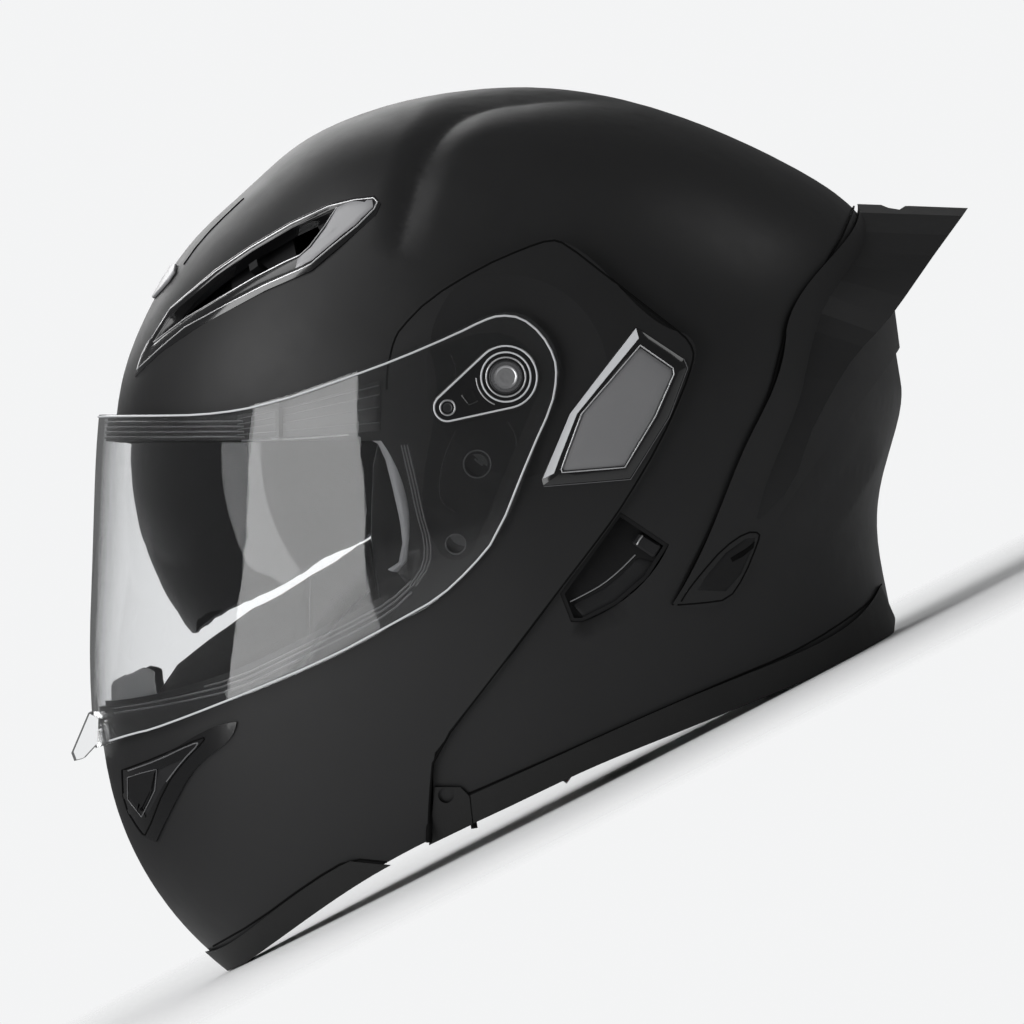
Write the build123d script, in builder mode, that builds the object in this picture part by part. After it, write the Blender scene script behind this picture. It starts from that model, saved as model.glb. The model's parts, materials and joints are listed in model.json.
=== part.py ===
from build123d import *
import math
import os

os.makedirs("parts", exist_ok=True)

# A modular motorcycle helmet, standing on its chin edge and its neck edge.
# The front faces -Y, the rider's left is +X and the table is at z = 0.
# Outlines are drawn on a plane through the pivot of the chin bar, seen from
# the left and square to X, with u to the rear and v to the crown.

# Driving dimensions
pivot_height = 160.0      # from the table up to the pivot of the chin bar
half_width = 125.0        # shell, from the middle plane to its flank
tilt_deg = 27.0           # how far the standing helmet leans forward
pivot_y = 13.2            # pivot behind the middle of the whole length
shell_wall = 4.0
arm_wall = 3.0            # chin bar and its arms
visor_wall = 2.4
plate_wall = 1.0          # plates that lie under the visor
skin_wall = 1.8           # spoiler and vent covers that lie on the shell
seat = 0.1                # between faces that lie on each other
running_gap = 0.5         # between shell, arms and visor
foam_depth = 34.0         # protective foam, at its thickest
pad_depth = 8.0           # cloth pad inside the foam
rim_wall = 1.6            # rubber rim, outside the shell
rim_lip = 5.0             # rubber rim, inside the shell
seal_wall = 3.6
lower_seal_wall = 2.6
nose_guard_wall = 2.4
chin_pad_depth = 16.0
neck_roll_depth = 22.0
shaft_radius = 6.0
shaft_gap = 0.05
bush_radius = 9.0
hub_radius = 12.8
hub_wall = 2.0
hub_ear_radius = 6.0
cap_radius = 4.6
cap_wall = 1.0
hub_groove_outer = 9.6
hub_groove_inner = 7.6
hub_groove_depth = 0.8
flange_radius = 11.0
flange_wall = 2.0
flange_room = 14.0
base_screw_radius = 5.6
base_screw_small_radius = 4.2
tab_half_width = 24.0
overrun = 60.0

# Sun visor
lens_radius = 113.4       # from its own pivot to the middle of the lens
lens_wall = 2.2
lens_room = 3.0           # left free round the lens in the foam
lens_ear_x = 88.0         # flat ears that carry the lens
lens_ear_room = 18.0
post_radius = 5.0
pin_radius = 3.0
post_collar = 1.5

# Slider of the sun visor
tray_floor_x = 108.0
tray_wall = 1.6
knob_wall = 3.6
knob_corner = 1.2
knob_bevel = 0.8

# Latch and release
strike_radius = 3.0
strike_length = 12.0
hook_wall = 3.0
hook_x = 72.0
hook_pin_radius = 2.0
button_width = 26.0
button_depth = 9.0
button_height = 7.0
button_gap = 0.4
button_travel = 4.0

# Shutter under each top vent
shutter_length = 32.0
shutter_width = 24.0
shutter_wall = 1.6
shutter_depth = 7.7       # below the face of the shell
shutter_tab = 4.0
shutter_travel = 8.0

# Strap and buckle
strap_width = 20.0
strap_wall = 1.8
strap_bend = 8.0
rivet_radius = 6.0
rivet_wall = 2.0
buckle_length = 40.0
buckle_width = 24.0
buckle_wall = 3.0
lever_length = 30.0
lever_width = 20.0
lever_wall = 2.4
lever_pin_radius = 1.6
lever_gap = 0.4
lever_end_share = -0.42   # where the lever turns, from the buckle's middle

# Photograph: where the pivot is seen, and how many pixels its height takes
pivot_px = (506, 380)
height_px = 400

tilt = math.radians(tilt_deg)
side = Plane(
    origin=(0, pivot_y, pivot_height),
    x_dir=(0, math.cos(tilt), -math.sin(tilt)),
    z_dir=(1, 0, 0),
)
arm_inner = running_gap
arm_outer = arm_inner + arm_wall
plate_outer = arm_outer + plate_wall
visor_inner = plate_outer + running_gap
visor_outer = visor_inner + visor_wall
foam_outer = -shell_wall - seat
foam_inner = foam_outer - foam_depth
pad_outer = foam_inner - seat
pad_inner = pad_outer - pad_depth

# The round form of the helmet, by spokes about the pivot. Each angle has its
# reach at the middle plane and on the flank, as shares of the pivot's height,
# and how full the curve between them is.
spoke_shares = {
    0: (0.986, 0.99, 2.7), 12: (0.978, 0.99, 2.7), 24: (0.978, 0.97, 2.7),
    36: (0.897, 0.93, 2.65), 48: (0.824, 0.89, 2.55), 60: (0.778, 0.84, 2.45),
    72: (0.750, 0.80, 2.35), 84: (0.735, 0.775, 2.3), 96: (0.730, 0.77, 2.3),
    108: (0.739, 0.785, 2.3), 120: (0.760, 0.81, 2.3), 132: (0.785, 0.845, 2.3),
    144: (0.805, 0.875, 2.3), 156: (0.856, 0.91, 2.3), 168: (0.906, 0.945, 2.35),
    180: (0.959, 0.97, 2.4), 192: (1.003, 0.99, 2.4), 204: (1.086, 0.99, 2.4),
    216: (1.238, 0.99, 2.4), 228: (1.428, 0.99, 2.4), 240: (1.566, 0.99, 2.4),
    252: (1.638, 0.99, 2.5), 264: (1.675, 0.99, 2.65), 276: (1.694, 0.99, 2.8),
    288: (1.675, 0.99, 2.8), 300: (1.594, 0.99, 2.8), 312: (1.450, 0.99, 2.8),
    324: (1.219, 0.99, 2.75), 336: (1.019, 0.99, 2.7), 348: (0.9725, 0.99, 2.7),
}
section_angles_deg = (0, 12, 24, 36, 47, 57, 66, 74, 82)
flat_share = math.sin(math.radians(section_angles_deg[-1]))


def turning_spokes():
    """Spokes of the chin bar's arms and the visor: round about the pivot."""
    spokes = dict(spoke_shares)
    for angle in spokes:
        if angle < 126 or angle > 276:
            spokes[angle] = spoke_shares[276]
    spokes[132] = (1.40, 0.98, 2.7)
    spokes[144] = (1.15, 0.97, 2.6)
    spokes[156] = (1.00, 0.965, 2.5)
    spokes[168] = (0.94, 0.965, 2.45)
    spokes[180] = (0.959, 0.975, 2.4)
    return spokes


def section_points(x, spokes, grow):
    across = (x / (half_width + grow)) ** 2
    points = []
    for angle, (middle, flank, fullness) in spokes.items():
        reach = pivot_height * (middle * (1 - across) + flank * across) + grow
        reach *= (1 - across) ** (1 / fullness)
        turn = math.radians(angle)
        points.append((reach * math.cos(turn), reach * math.sin(turn)))
    return points


def form(spokes, grow):
    """The closed round form, its surface moved out by grow."""
    angles = [-angle for angle in reversed(section_angles_deg[1:])]
    angles += section_angles_deg
    knot_shares = [count / len(spokes) for count in range(len(spokes) + 1)]
    with BuildPart() as body:
        for angle in angles:
            x = (half_width + grow) * math.sin(math.radians(angle))
            points = section_points(x, spokes, grow)
            with BuildSketch(side.offset(x)):
                with BuildLine():
                    add(Edge.make_spline(points, periodic=True, parameters=knot_shares))
                make_face()
        loft()
    return body.part


def flat_x(grow):
    """Where the flat about the pivot lies, on a surface moved out by grow."""
    return (half_width + grow) * flat_share


def on_side(point_px):
    scale = pivot_height / height_px
    return ((point_px[0] - pivot_px[0]) * scale, (pivot_px[1] - point_px[1]) * scale)


def at(point_px, x=0):
    """A place in space from a photographed one and its distance along X."""
    u, v = on_side(point_px)
    return side.from_local_coords((u, v, x))


def prism(runs_px, x_from, x_to):
    """A block along X. A run of two points is straight, a longer one curved."""
    with BuildPart() as block:
        with BuildSketch(side.offset(x_from)):
            with BuildLine():
                for run in runs_px:
                    points = [on_side(point) for point in run]
                    if len(points) == 2:
                        Line(*points)
                    else:
                        Spline(*points)
            make_face()
        extrude(amount=x_to - x_from)
    return block.part


def polygon(points_px):
    """Straight runs round a closed outline."""
    return list(zip(points_px, points_px[1:] + points_px[:1]))


def rod(point_px, radius, x_from, x_to):
    """A round bar along X."""
    with BuildPart() as bar:
        with BuildSketch(side.offset(x_from)):
            with Locations(on_side(point_px)):
                Circle(radius)
        extrude(amount=x_to - x_from)
    return bar.part


def skin(inner, outer, block):
    """What a block cuts out of the layer between two forms."""
    with BuildPart() as layer:
        add(block)
        add(outer, mode=Mode.INTERSECT)
        add(inner, mode=Mode.SUBTRACT)
    return layer.part


def save(part, name):
    with BuildPart() as piece:
        add(part)
    piece.part.label = name
    export_step(piece.part, "parts/" + name + ".step")


def save_pair(part, name):
    """The rider's left piece, and its mirror image on the right."""
    save(part, name + "_left")
    save(mirror(part, about=Plane.YZ), name + "_right")


whole = half_width + overrun
deep = half_width / 3

spokes = turning_spokes()
shell_face = form(spoke_shares, 0)
shell_inside = form(spoke_shares, -shell_wall)
cover_base = form(spoke_shares, seat)
cover_face = form(spoke_shares, skin_wall)
foam_face = form(spoke_shares, foam_outer)
foam_inside = form(spoke_shares, foam_inner)
arm_inside = form(spokes, arm_inner)
arm_face = form(spokes, arm_outer)
plate_base = form(spokes, arm_outer + seat)
plate_face = form(spokes, plate_outer)
visor_inside = form(spokes, visor_inner)
visor_face = form(spokes, visor_outer)

# Lower edges, from the split line to the nape and from there to the chin
shell_edge_px = [(430, 836), (506, 800), (588, 761), (663, 730), (740, 699), (825, 664), (888, 632)]
rim_edge_px = [(474, 819), (506, 804), (588, 765), (663, 734), (740, 703), (825, 668), (892, 637)]
rim_top_px = [(879, 585), (863, 608), (792, 652), (722, 680), (500, 778), (471, 791)]
table_cut_height = pivot_height / 2


def table_cut():
    """Everything below the table."""
    with BuildPart() as cut:
        with BuildSketch(Plane.XY.offset(-table_cut_height)):
            Rectangle(4 * half_width, 6 * half_width)
        extrude(amount=table_cut_height)
    return cut.part


under_table = table_cut()
sun_pivot_px = (418, 455)
knob_pivot_px = (519, 463)
hook_pivot_px = (405, 775)
strike_px = (447, 791)
button_px = (215, 900)
strap_anchor_px = (622, 655)
strap_low_px = (558, 745)
strap_wall_px = (640, 695)
slider_px = [
    [(617, 511), (666, 544)],
    [(666, 544), (645, 577), (615, 603), (581, 620)],
    [(581, 620), (570, 620)],
    [(570, 620), (559, 592)],
    [(559, 592), (617, 511)],
]
vent_outer_px = [
    [(138, 377), (181, 305), (260, 245), (342, 208)],
    [(342, 208), (383, 204)],
    [(383, 204), (370, 232), (325, 270)],
    [(325, 270), (250, 300), (138, 377)],
]
vent_opening_px = [
    [(158, 344), (180, 312), (262, 250), (340, 214)],
    [(340, 214), (305, 259)],
    [(305, 259), (240, 290), (158, 344)],
]

# Fin of the spoiler: at each distance from the middle plane, its root on the
# crown, its trailing edge and its root on the nape
fin_stations_px = [
    (0.0, (832, 203), (968, 208), (868, 330)),
    (0.40, (836, 252), (930, 258), (860, 335)),
    (0.64, (800, 290), (885, 320), (815, 365)),
    (0.74, (775, 345), (845, 365), (785, 400)),
    (0.785, (755, 415), (808, 430), (762, 455)),
    (0.81, (735, 480), (780, 495), (735, 515)),
    (0.825, (690, 550), (700, 560), (688, 566)),
]
fin_steps = 3             # from one station of the table to the next
scoop_half_width = 28.0


def surface_x(point_px, grow=0.0):
    """Distance of the shell's surface from the middle plane at a place."""
    u, v = on_side(point_px)
    reach = math.hypot(u, v)
    turn = math.degrees(math.atan2(v, u)) % 360
    step = 12
    low_angle = int(turn // step) * step
    part_way = (turn - low_angle) / step
    before = spoke_shares[low_angle]
    after = spoke_shares[(low_angle + step) % 360]
    middle, flank, fullness = [a + (b - a) * part_way for a, b in zip(before, after)]
    low, high = 0.0, half_width + grow
    halvings = 40
    for _ in range(halvings):
        x = (low + high) / 2
        across = (x / (half_width + grow)) ** 2
        radius = pivot_height * (middle * (1 - across) + flank * across) + grow
        radius *= (1 - across) ** (1 / fullness)
        if radius > reach:
            low = x
        else:
            high = x
    return low


def lens_barrel(grow_out, grow_in):
    """Barrel about the sun visor's own pivot, with flat ends."""
    places = [(0, 1.0), (0.27, 0.975), (0.53, 0.865), (0.69, 0.71), (0.775, 0.5)]

    def curve(grow):
        along = (lens_ear_x + grow) / lens_ear_x
        out = (lens_radius + grow) / lens_radius
        right = [(x * lens_radius * along, r * lens_radius * out) for x, r in places]
        left = [(-x, r) for x, r in reversed(right[1:])]
        return left + right

    outer = curve(grow_out)
    inner = curve(grow_in)
    cross = Plane(origin=at(sun_pivot_px), x_dir=(1, 0, 0), z_dir=side.x_dir)
    with BuildPart() as barrel:
        with BuildSketch(cross):
            with BuildLine():
                Spline(*outer)
                Line(outer[-1], (outer[-1][0], 0))
                Line((outer[-1][0], 0), (inner[-1][0], 0))
                Line((inner[-1][0], 0), inner[-1])
                Spline(*inner)
                Line(inner[0], (inner[0][0], 0))
                Line((inner[0][0], 0), (outer[0][0], 0))
                Line((outer[0][0], 0), outer[0])
            make_face()
        revolve(axis=Axis(cross.origin, (1, 0, 0)))
    return barrel.part


def make_outer_shell():
    outline_px = [
        shell_edge_px,
        [(888, 632), (1100, 500)],
        [(1100, 500), (1100, 0)],
        [(1100, 0), (0, 0)],
        [(0, 0), (40, 442)],
        [(40, 442), (384, 442)],
        [(384, 442), (400, 470), (412, 525), (410, 556), (420, 650), (434, 760), (430, 836)],
    ]
    with BuildPart() as outer_shell:
        add(skin(shell_inside, shell_face, prism(outline_px, -whole, whole)))
        add(prism(slider_px, tray_floor_x, whole), mode=Mode.SUBTRACT)
        for sign in (-1, 1):
            add(prism(vent_opening_px, 0, sign * whole), mode=Mode.SUBTRACT)
            add(rod(pivot_px, shaft_radius, sign * deep, sign * whole), mode=Mode.SUBTRACT)
        add(under_table, mode=Mode.SUBTRACT)
    save(outer_shell.part, "outer_shell")
    return outer_shell.part


def fin_stations():
    """The fin's stations with even ones between them, on smooth curves."""
    rows = [[x_share, *root, *tip, *nape] for x_share, root, tip, nape in fin_stations_px]
    rows = [[-rows[1][0], *rows[1][1:]]] + rows + [rows[-1]]
    stations = []
    for row in zip(rows, rows[1:], rows[2:], rows[3:]):
        for step in range(fin_steps):
            t = step / fin_steps
            stations.append([
                b + (c - a) * t / 2 + (2 * a - 5 * b + 4 * c - d) * t ** 2 / 2
                + (3 * b - a - 3 * c + d) * t ** 3 / 2
                for a, b, c, d in zip(*row)
            ])
    return stations + [rows[-1]]


def make_rear_spoiler():
    outline_px = [
        [(849, 192), (857, 203), (832, 255), (794, 302), (782, 333)],
        [(782, 333), (765, 400), (745, 440), (711, 522), (670, 602)],
        [(670, 602), (724, 599), (747, 565)],
        [(747, 565), (800, 480), (860, 400), (912, 330)],
        [(912, 330), (1000, 210)],
        [(1000, 210), (960, 150)],
        [(960, 150), (849, 192)],
    ]
    scoop_px = [(864, 190), (864, 197), (888, 208), (899, 210), (905, 206), (930, 205), (930, 190)]
    left = fin_stations()
    right = [[-x_share, *corners_px] for x_share, *corners_px in reversed(left[1:])]
    with BuildPart() as rear_spoiler:
        for x_share, *corners_px in right + left:
            corners = zip(corners_px[::2], corners_px[1::2])
            with BuildSketch(side.offset(x_share * half_width)):
                with BuildLine():
                    Polyline(*[on_side(corner) for corner in corners], close=True)
                make_face()
        loft(ruled=True)
        add(cover_face)
        add(prism(outline_px, -whole, whole), mode=Mode.INTERSECT)
        add(cover_base, mode=Mode.SUBTRACT)
        add(prism(polygon(scoop_px), -scoop_half_width, scoop_half_width), mode=Mode.SUBTRACT)
    save(rear_spoiler.part, "rear_spoiler")


def make_rims(outer_shell):
    neck_px = [
        rim_edge_px,
        [(892, 637), (895, 618)],
        [(895, 618), (879, 585)],
        rim_top_px,
        [(471, 791), (474, 819)],
    ]
    end_px = [(430, 841), (473, 820), (470, 792), (461, 783), (436, 783)]
    inner = form(spoke_shares, -rim_lip)
    outer = form(spoke_shares, rim_wall)
    with BuildPart() as neck_rim:
        add(skin(inner, outer, prism(neck_px, -whole, whole)))
        add(outer_shell, mode=Mode.SUBTRACT)
        add(under_table, mode=Mode.SUBTRACT)
    save(neck_rim.part, "neck_rim")
    with BuildPart() as rim_end:
        add(skin(inner, outer, prism(polygon(end_px), deep, whole)))
        add(outer_shell, mode=Mode.SUBTRACT)
        add(rod(strike_px, strike_radius + seat, 0, whole), mode=Mode.SUBTRACT)
    save_pair(rim_end.part, "rim_end")


def make_brow_seal():
    outline_px = [
        [(60, 419), (184, 419), (233, 415), (284, 404)],
        [(284, 404), (284, 441)],
        [(284, 441), (60, 441)],
        [(60, 441), (60, 419)],
    ]
    with BuildPart() as brow_seal:
        face = form(spoke_shares, seal_wall)
        add(skin(cover_base, face, prism(outline_px, -whole, whole)))
    save(brow_seal.part, "brow_seal")


def shutter_plane():
    """Plane that touches the crown in the middle of the left top vent."""
    front_px, rear_px, low_px, middle_px = (215, 303), (300, 243), (262, 295), (256, 268)
    front, rear, low, middle = [
        at(point, surface_x(point)) for point in (front_px, rear_px, low_px, middle_px)
    ]
    along = rear - front
    return Plane(origin=middle, x_dir=along, z_dir=along.cross(front - low))


def block_on(plane, length, width, low, high):
    """A box on a plane, from low to high above it."""
    with BuildPart() as block:
        with BuildSketch(plane.offset(low)):
            Rectangle(length, width)
        extrude(amount=high - low)
    return block.part


def make_top_vents():
    with BuildPart() as frame:
        add(skin(cover_base, cover_face, prism(vent_outer_px, 0, whole)))
        add(prism(vent_opening_px, 0, whole), mode=Mode.SUBTRACT)
    save_pair(frame.part, "top_vent_frame")
    plane = shutter_plane()
    with BuildPart() as shutter:
        plate_floor = -shutter_depth - shutter_wall
        add(block_on(plane, shutter_length, shutter_width, plate_floor, -shutter_depth))
        add(block_on(plane, shutter_tab, shutter_tab, -shutter_depth, -running_gap))
    save_pair(shutter.part, "top_vent_shutter")
    print("shutter slides along", plane.x_dir)


def make_foam():
    outline_px = [
        (0, 0), (1100, 0), (1100, 560), (868, 578), (600, 548),
        (430, 540), (420, 470), (380, 437), (40, 437),
    ]
    sector_px = [(456, 480), (206, 20), (-100, 20), (-100, 480)]
    with BuildPart() as room:
        add(lens_barrel(foam_depth, -lens_room))
        add(prism(polygon(sector_px), -whole, whole), mode=Mode.INTERSECT)
    pocket_length = shutter_length + 2 * shutter_travel + 2 * running_gap
    pocket_width = shutter_width + 2 * running_gap
    pocket_floor = shutter_depth + shutter_wall + running_gap
    pocket = block_on(shutter_plane(), pocket_length, pocket_width, -pocket_floor, deep)
    with BuildPart() as foam:
        add(skin(foam_inside, foam_face, prism(polygon(outline_px), -whole, whole)))
        add(room.part, mode=Mode.SUBTRACT)
        add(pocket, mode=Mode.SUBTRACT)
        add(mirror(pocket, about=Plane.YZ), mode=Mode.SUBTRACT)
        add(prism(slider_px, tray_floor_x - seat, whole), mode=Mode.SUBTRACT)
        for sign in (-1, 1):
            add(rod(sun_pivot_px, lens_ear_room, sign * deep, sign * whole), mode=Mode.SUBTRACT)
            add(rod(pivot_px, flange_room, sign * tray_floor_x, sign * whole), mode=Mode.SUBTRACT)
    save(foam.part, "protective_foam")


def make_crown_pad():
    outline_px = [(100, 40), (940, 40), (880, 470), (640, 470), (400, 400), (160, 400)]
    with BuildPart() as crown_pad:
        outer = form(spoke_shares, pad_outer)
        inner = form(spoke_shares, pad_inner)
        add(skin(inner, outer, prism(polygon(outline_px), -whole, whole)))
    save(crown_pad.part, "crown_pad")


def make_cheek_pads():
    outline_px = [(436, 562), (545, 562), (545, 665), (500, 700), (446, 740)]
    with BuildPart() as cheek_pad:
        add(skin(foam_inside, foam_face, prism(polygon(outline_px), deep, whole)))
    save_pair(cheek_pad.part, "cheek_pad")


def make_neck_roll():
    outline_px = [
        [(664, 724), (730, 694), (800, 664), (866, 634)],
        [(866, 634), (880, 596)],
        [(880, 596), (800, 606), (730, 632), (664, 666)],
        [(664, 666), (664, 724)],
    ]
    with BuildPart() as neck_roll:
        outer = form(spoke_shares, -rim_lip - seat)
        inner = form(spoke_shares, -neck_roll_depth)
        add(skin(inner, outer, prism(outline_px, -whole, whole)))
    save(neck_roll.part, "neck_roll")


def make_sun_visor():
    outline_px = [
        [(100, 422), (398, 422)],
        [(398, 422), (432, 445)],
        [(432, 445), (430, 475)],
        [(430, 475), (385, 520), (359, 542), (325, 557), (288, 581), (242, 602), (198, 632)],
        [(198, 632), (100, 632)],
        [(100, 632), (100, 422)],
    ]
    half_wall = lens_wall / 2
    with BuildPart() as sun_visor:
        add(lens_barrel(half_wall, -half_wall))
        add(prism(outline_px, -whole, whole), mode=Mode.INTERSECT)
        for sign in (-1, 1):
            add(rod(sun_pivot_px, pin_radius + shaft_gap, sign * deep, sign * whole), mode=Mode.SUBTRACT)
    save(sun_visor.part, "sun_visor")


def make_sun_visor_posts():
    with BuildPart() as post:
        add(rod(sun_pivot_px, post_radius, lens_ear_x + lens_wall, whole))
        add(rod(sun_pivot_px, pin_radius, lens_ear_x - lens_wall - seat, whole))
        add(rod(sun_pivot_px, post_radius, lens_ear_x - lens_wall - post_collar, lens_ear_x - lens_wall))
        add(form(spoke_shares, -shell_wall - seat), mode=Mode.INTERSECT)
    save_pair(post.part, "sun_visor_post")


def make_slider():
    knob_px = [(629, 542), (636, 531), (659, 545), (651, 557)]
    top = form(spoke_shares, -running_gap)
    with BuildPart() as tray:
        with BuildSketch(side.offset(tray_floor_x)):
            with BuildLine():
                for run in slider_px:
                    Polyline(*[on_side(point) for point in run])
            make_face()
            offset(amount=-seat)
        extrude(amount=half_width - tray_floor_x)
        with BuildSketch(side.offset(tray_floor_x + tray_wall)):
            with BuildLine():
                for run in slider_px:
                    Polyline(*[on_side(point) for point in run])
            make_face()
            offset(amount=-tray_wall)
        extrude(amount=half_width, mode=Mode.SUBTRACT)
        add(top, mode=Mode.INTERSECT)
    save(tray.part, "slider_tray")
    with BuildPart() as knob:
        base = tray_floor_x + tray_wall + running_gap
        add(prism(polygon(knob_px), base, base + knob_wall))
        fillet(knob.edges().filter_by(Axis.X), knob_corner)
        chamfer(knob.faces().sort_by(Axis.X)[-1].edges(), knob_bevel)
    save(knob.part, "sun_visor_knob")


def make_pivots():
    tip = flat_x(visor_outer) + hub_wall + seat
    root = flat_x(-shell_wall)
    with BuildPart() as shaft:
        add(rod(pivot_px, shaft_radius, root, tip))
        add(rod(pivot_px, flange_radius, root - flange_wall, root))
    save_pair(shaft.part, "pivot_shaft")
    with BuildPart() as cap:
        add(rod(pivot_px, cap_radius, tip, tip + cap_wall))
        chamfer(cap.faces().sort_by(Axis.X)[-1].edges(), cap_wall / 3)
    save_pair(cap.part, "pivot_cap")
    with BuildPart() as bush:
        add(rod(pivot_px, bush_radius, flat_x(arm_inner), flat_x(arm_outer)))
        add(rod(pivot_px, shaft_radius + shaft_gap, 0, whole), mode=Mode.SUBTRACT)
    save_pair(bush.part, "pivot_bush")


def make_chin_bar():
    outline_px = [
        [(40, 706), (100, 706)],
        [(100, 706), (240, 672), (360, 613), (395, 594), (419, 568)],
        [(419, 568), (422, 549), (420, 525), (408, 474), (394, 440), (388, 400), (391, 359), (400, 332)],
        [(400, 332), (431, 302), (482, 271), (523, 253), (550, 244)],
        [(550, 244), (564, 248), (610, 284), (681, 337)],
        [(681, 337), (692, 353), (691, 365), (681, 394)],
        [(681, 394), (658, 445), (625, 501), (602, 534), (559, 590), (500, 668)],
        [(500, 668), (436, 749)],
        [(436, 749), (432, 790), (430, 836)],
        [(430, 836), (405, 849), (339, 889), (248, 955), (232, 966)],
        [(232, 966), (40, 966)],
        [(40, 966), (40, 706)],
    ]
    with BuildPart() as chin_bar:
        add(skin(arm_inside, arm_face, prism(outline_px, -whole, whole)))
        for sign in (-1, 1):
            add(rod(pivot_px, bush_radius, sign * deep, sign * whole), mode=Mode.SUBTRACT)
        add(under_table, mode=Mode.SUBTRACT)
    save(chin_bar.part, "chin_bar")
    return chin_bar.part


def make_chin_rim(chin_bar):
    outline_px = [
        [(180, 951), (209, 951), (256, 923), (312, 881), (352, 857)],
        [(352, 857), (392, 861)],
        [(392, 861), (339, 894), (248, 960), (228, 974)],
        [(228, 974), (180, 974)],
        [(180, 974), (180, 951)],
    ]
    with BuildPart() as chin_rim:
        inner = form(spokes, arm_inner - rim_lip)
        outer = form(spokes, arm_outer + rim_wall)
        add(skin(inner, outer, prism(outline_px, -whole, whole)))
        add(chin_bar, mode=Mode.SUBTRACT)
        add(under_table, mode=Mode.SUBTRACT)
    save(chin_rim.part, "chin_rim")


def button_plane():
    """Plane across the release button's way, which points out of the chin."""
    place = at(button_px)
    return Plane(origin=place, x_dir=(1, 0, 0), z_dir=place - at(pivot_px))


def make_chin_pad():
    outline_px = [
        (60, 726), (100, 724), (240, 690), (290, 667),
        (290, 882), (248, 912), (206, 940), (60, 940),
    ]
    room_width = button_width + 2 * button_gap
    room_height = button_height + 2 * button_gap
    room_floor = button_depth / 2 + button_travel + button_gap
    with BuildPart() as chin_pad:
        inner = form(spokes, -chin_pad_depth)
        outer = form(spokes, arm_inner - seat)
        add(skin(inner, outer, prism(polygon(outline_px), -whole, whole)))
        add(block_on(button_plane(), room_width, room_height, -deep, room_floor), mode=Mode.SUBTRACT)
    save(chin_pad.part, "chin_pad")


def make_release_button():
    plane = button_plane()
    with BuildPart() as release_button:
        add(block_on(plane, button_width, button_height, -button_depth / 2, button_depth / 2))
        fillet(release_button.edges().filter_by(Axis(plane.origin, plane.z_dir)), button_height / 4)
    save(release_button.part, "release_button")
    print("release button slides along", plane.z_dir)


def make_lower_seal():
    outline_px = [
        [(60, 702), (100, 701), (240, 667), (355, 610), (390, 592)],
        [(390, 592), (392, 606)],
        [(392, 606), (357, 624), (240, 682), (100, 716), (60, 718)],
        [(60, 718), (60, 702)],
    ]
    with BuildPart() as lower_seal:
        inner = form(spokes, -lower_seal_wall)
        outer = form(spokes, arm_inner - seat)
        add(skin(inner, outer, prism(outline_px, -whole, whole)))
    save(lower_seal.part, "lower_seal")


def make_nose_guard():
    outline_px = [(95, 716), (102, 690), (118, 678), (148, 664), (160, 668), (164, 704)]
    with BuildPart() as nose_guard:
        inner = form(spokes, -lower_seal_wall - nose_guard_wall - seat)
        outer = form(spokes, -lower_seal_wall - seat)
        add(skin(inner, outer, prism(polygon(outline_px), -whole, whole)))
    save(nose_guard.part, "nose_guard")


def make_base_plates():
    outline_px = [
        [(431, 353), (435, 425), (428, 462), (442, 552)],
        [(442, 552), (456, 559), (474, 549)],
        [(474, 549), (536, 399)],
        [(536, 399), (540, 372), (505, 338), (460, 343), (431, 353)],
    ]
    screws = [((478, 465), base_screw_radius), ((457, 543), base_screw_small_radius)]
    with BuildPart() as base_plate:
        add(skin(plate_base, plate_face, prism(outline_px, deep, whole)))
        add(rod(pivot_px, bush_radius, deep, whole), mode=Mode.SUBTRACT)
        for place_px, radius in screws:
            add(rod(place_px, radius, deep, whole), mode=Mode.SUBTRACT)
    save_pair(base_plate.part, "base_plate")
    with BuildPart() as base_screws:
        for place_px, radius in screws:
            add(skin(plate_base, plate_face, rod(place_px, radius - seat, deep, whole)))
    save_pair(base_screws.part, "base_screws")


def make_side_inserts():
    outer_px = [
        (633, 331), (681, 363), (684, 370), (666, 419),
        (629, 480), (543, 487), (541, 480), (569, 416),
    ]
    inner_px = [(638, 350), (671, 372), (667, 386), (625, 466), (620, 470), (559, 473), (579, 416)]
    with BuildPart() as insert_frame:
        add(skin(plate_base, plate_face, prism(polygon(outer_px), deep, whole)))
        add(prism(polygon(inner_px), deep, whole), mode=Mode.SUBTRACT)
    save_pair(insert_frame.part, "side_insert_frame")
    with BuildPart() as insert:
        face = form(spokes, arm_outer + plate_wall / 2)
        add(skin(plate_base, face, prism(polygon(inner_px), deep, whole)))
    save_pair(insert.part, "side_insert")


def make_chin_vents():
    outer_px = [
        [(124, 769), (170, 751), (225, 722), (240, 719)],
        [(240, 719), (238, 728), (205, 760), (178, 800), (158, 840)],
        [(158, 840), (144, 835)],
        [(144, 835), (126, 800), (124, 769)],
    ]
    grille_px = [(130, 775), (160, 768), (185, 757), (165, 785), (148, 816)]
    with BuildPart() as vent_frame:
        add(skin(plate_base, plate_face, prism(outer_px, deep / 2, whole)))
        add(prism(polygon(grille_px), 0, whole), mode=Mode.SUBTRACT)
    save_pair(vent_frame.part, "chin_vent_frame")
    with BuildPart() as grille:
        face = form(spokes, arm_outer + plate_wall / 2)
        add(skin(plate_base, face, prism(polygon(grille_px), deep / 2, whole)))
    save_pair(grille.part, "chin_vent_grille")


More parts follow.
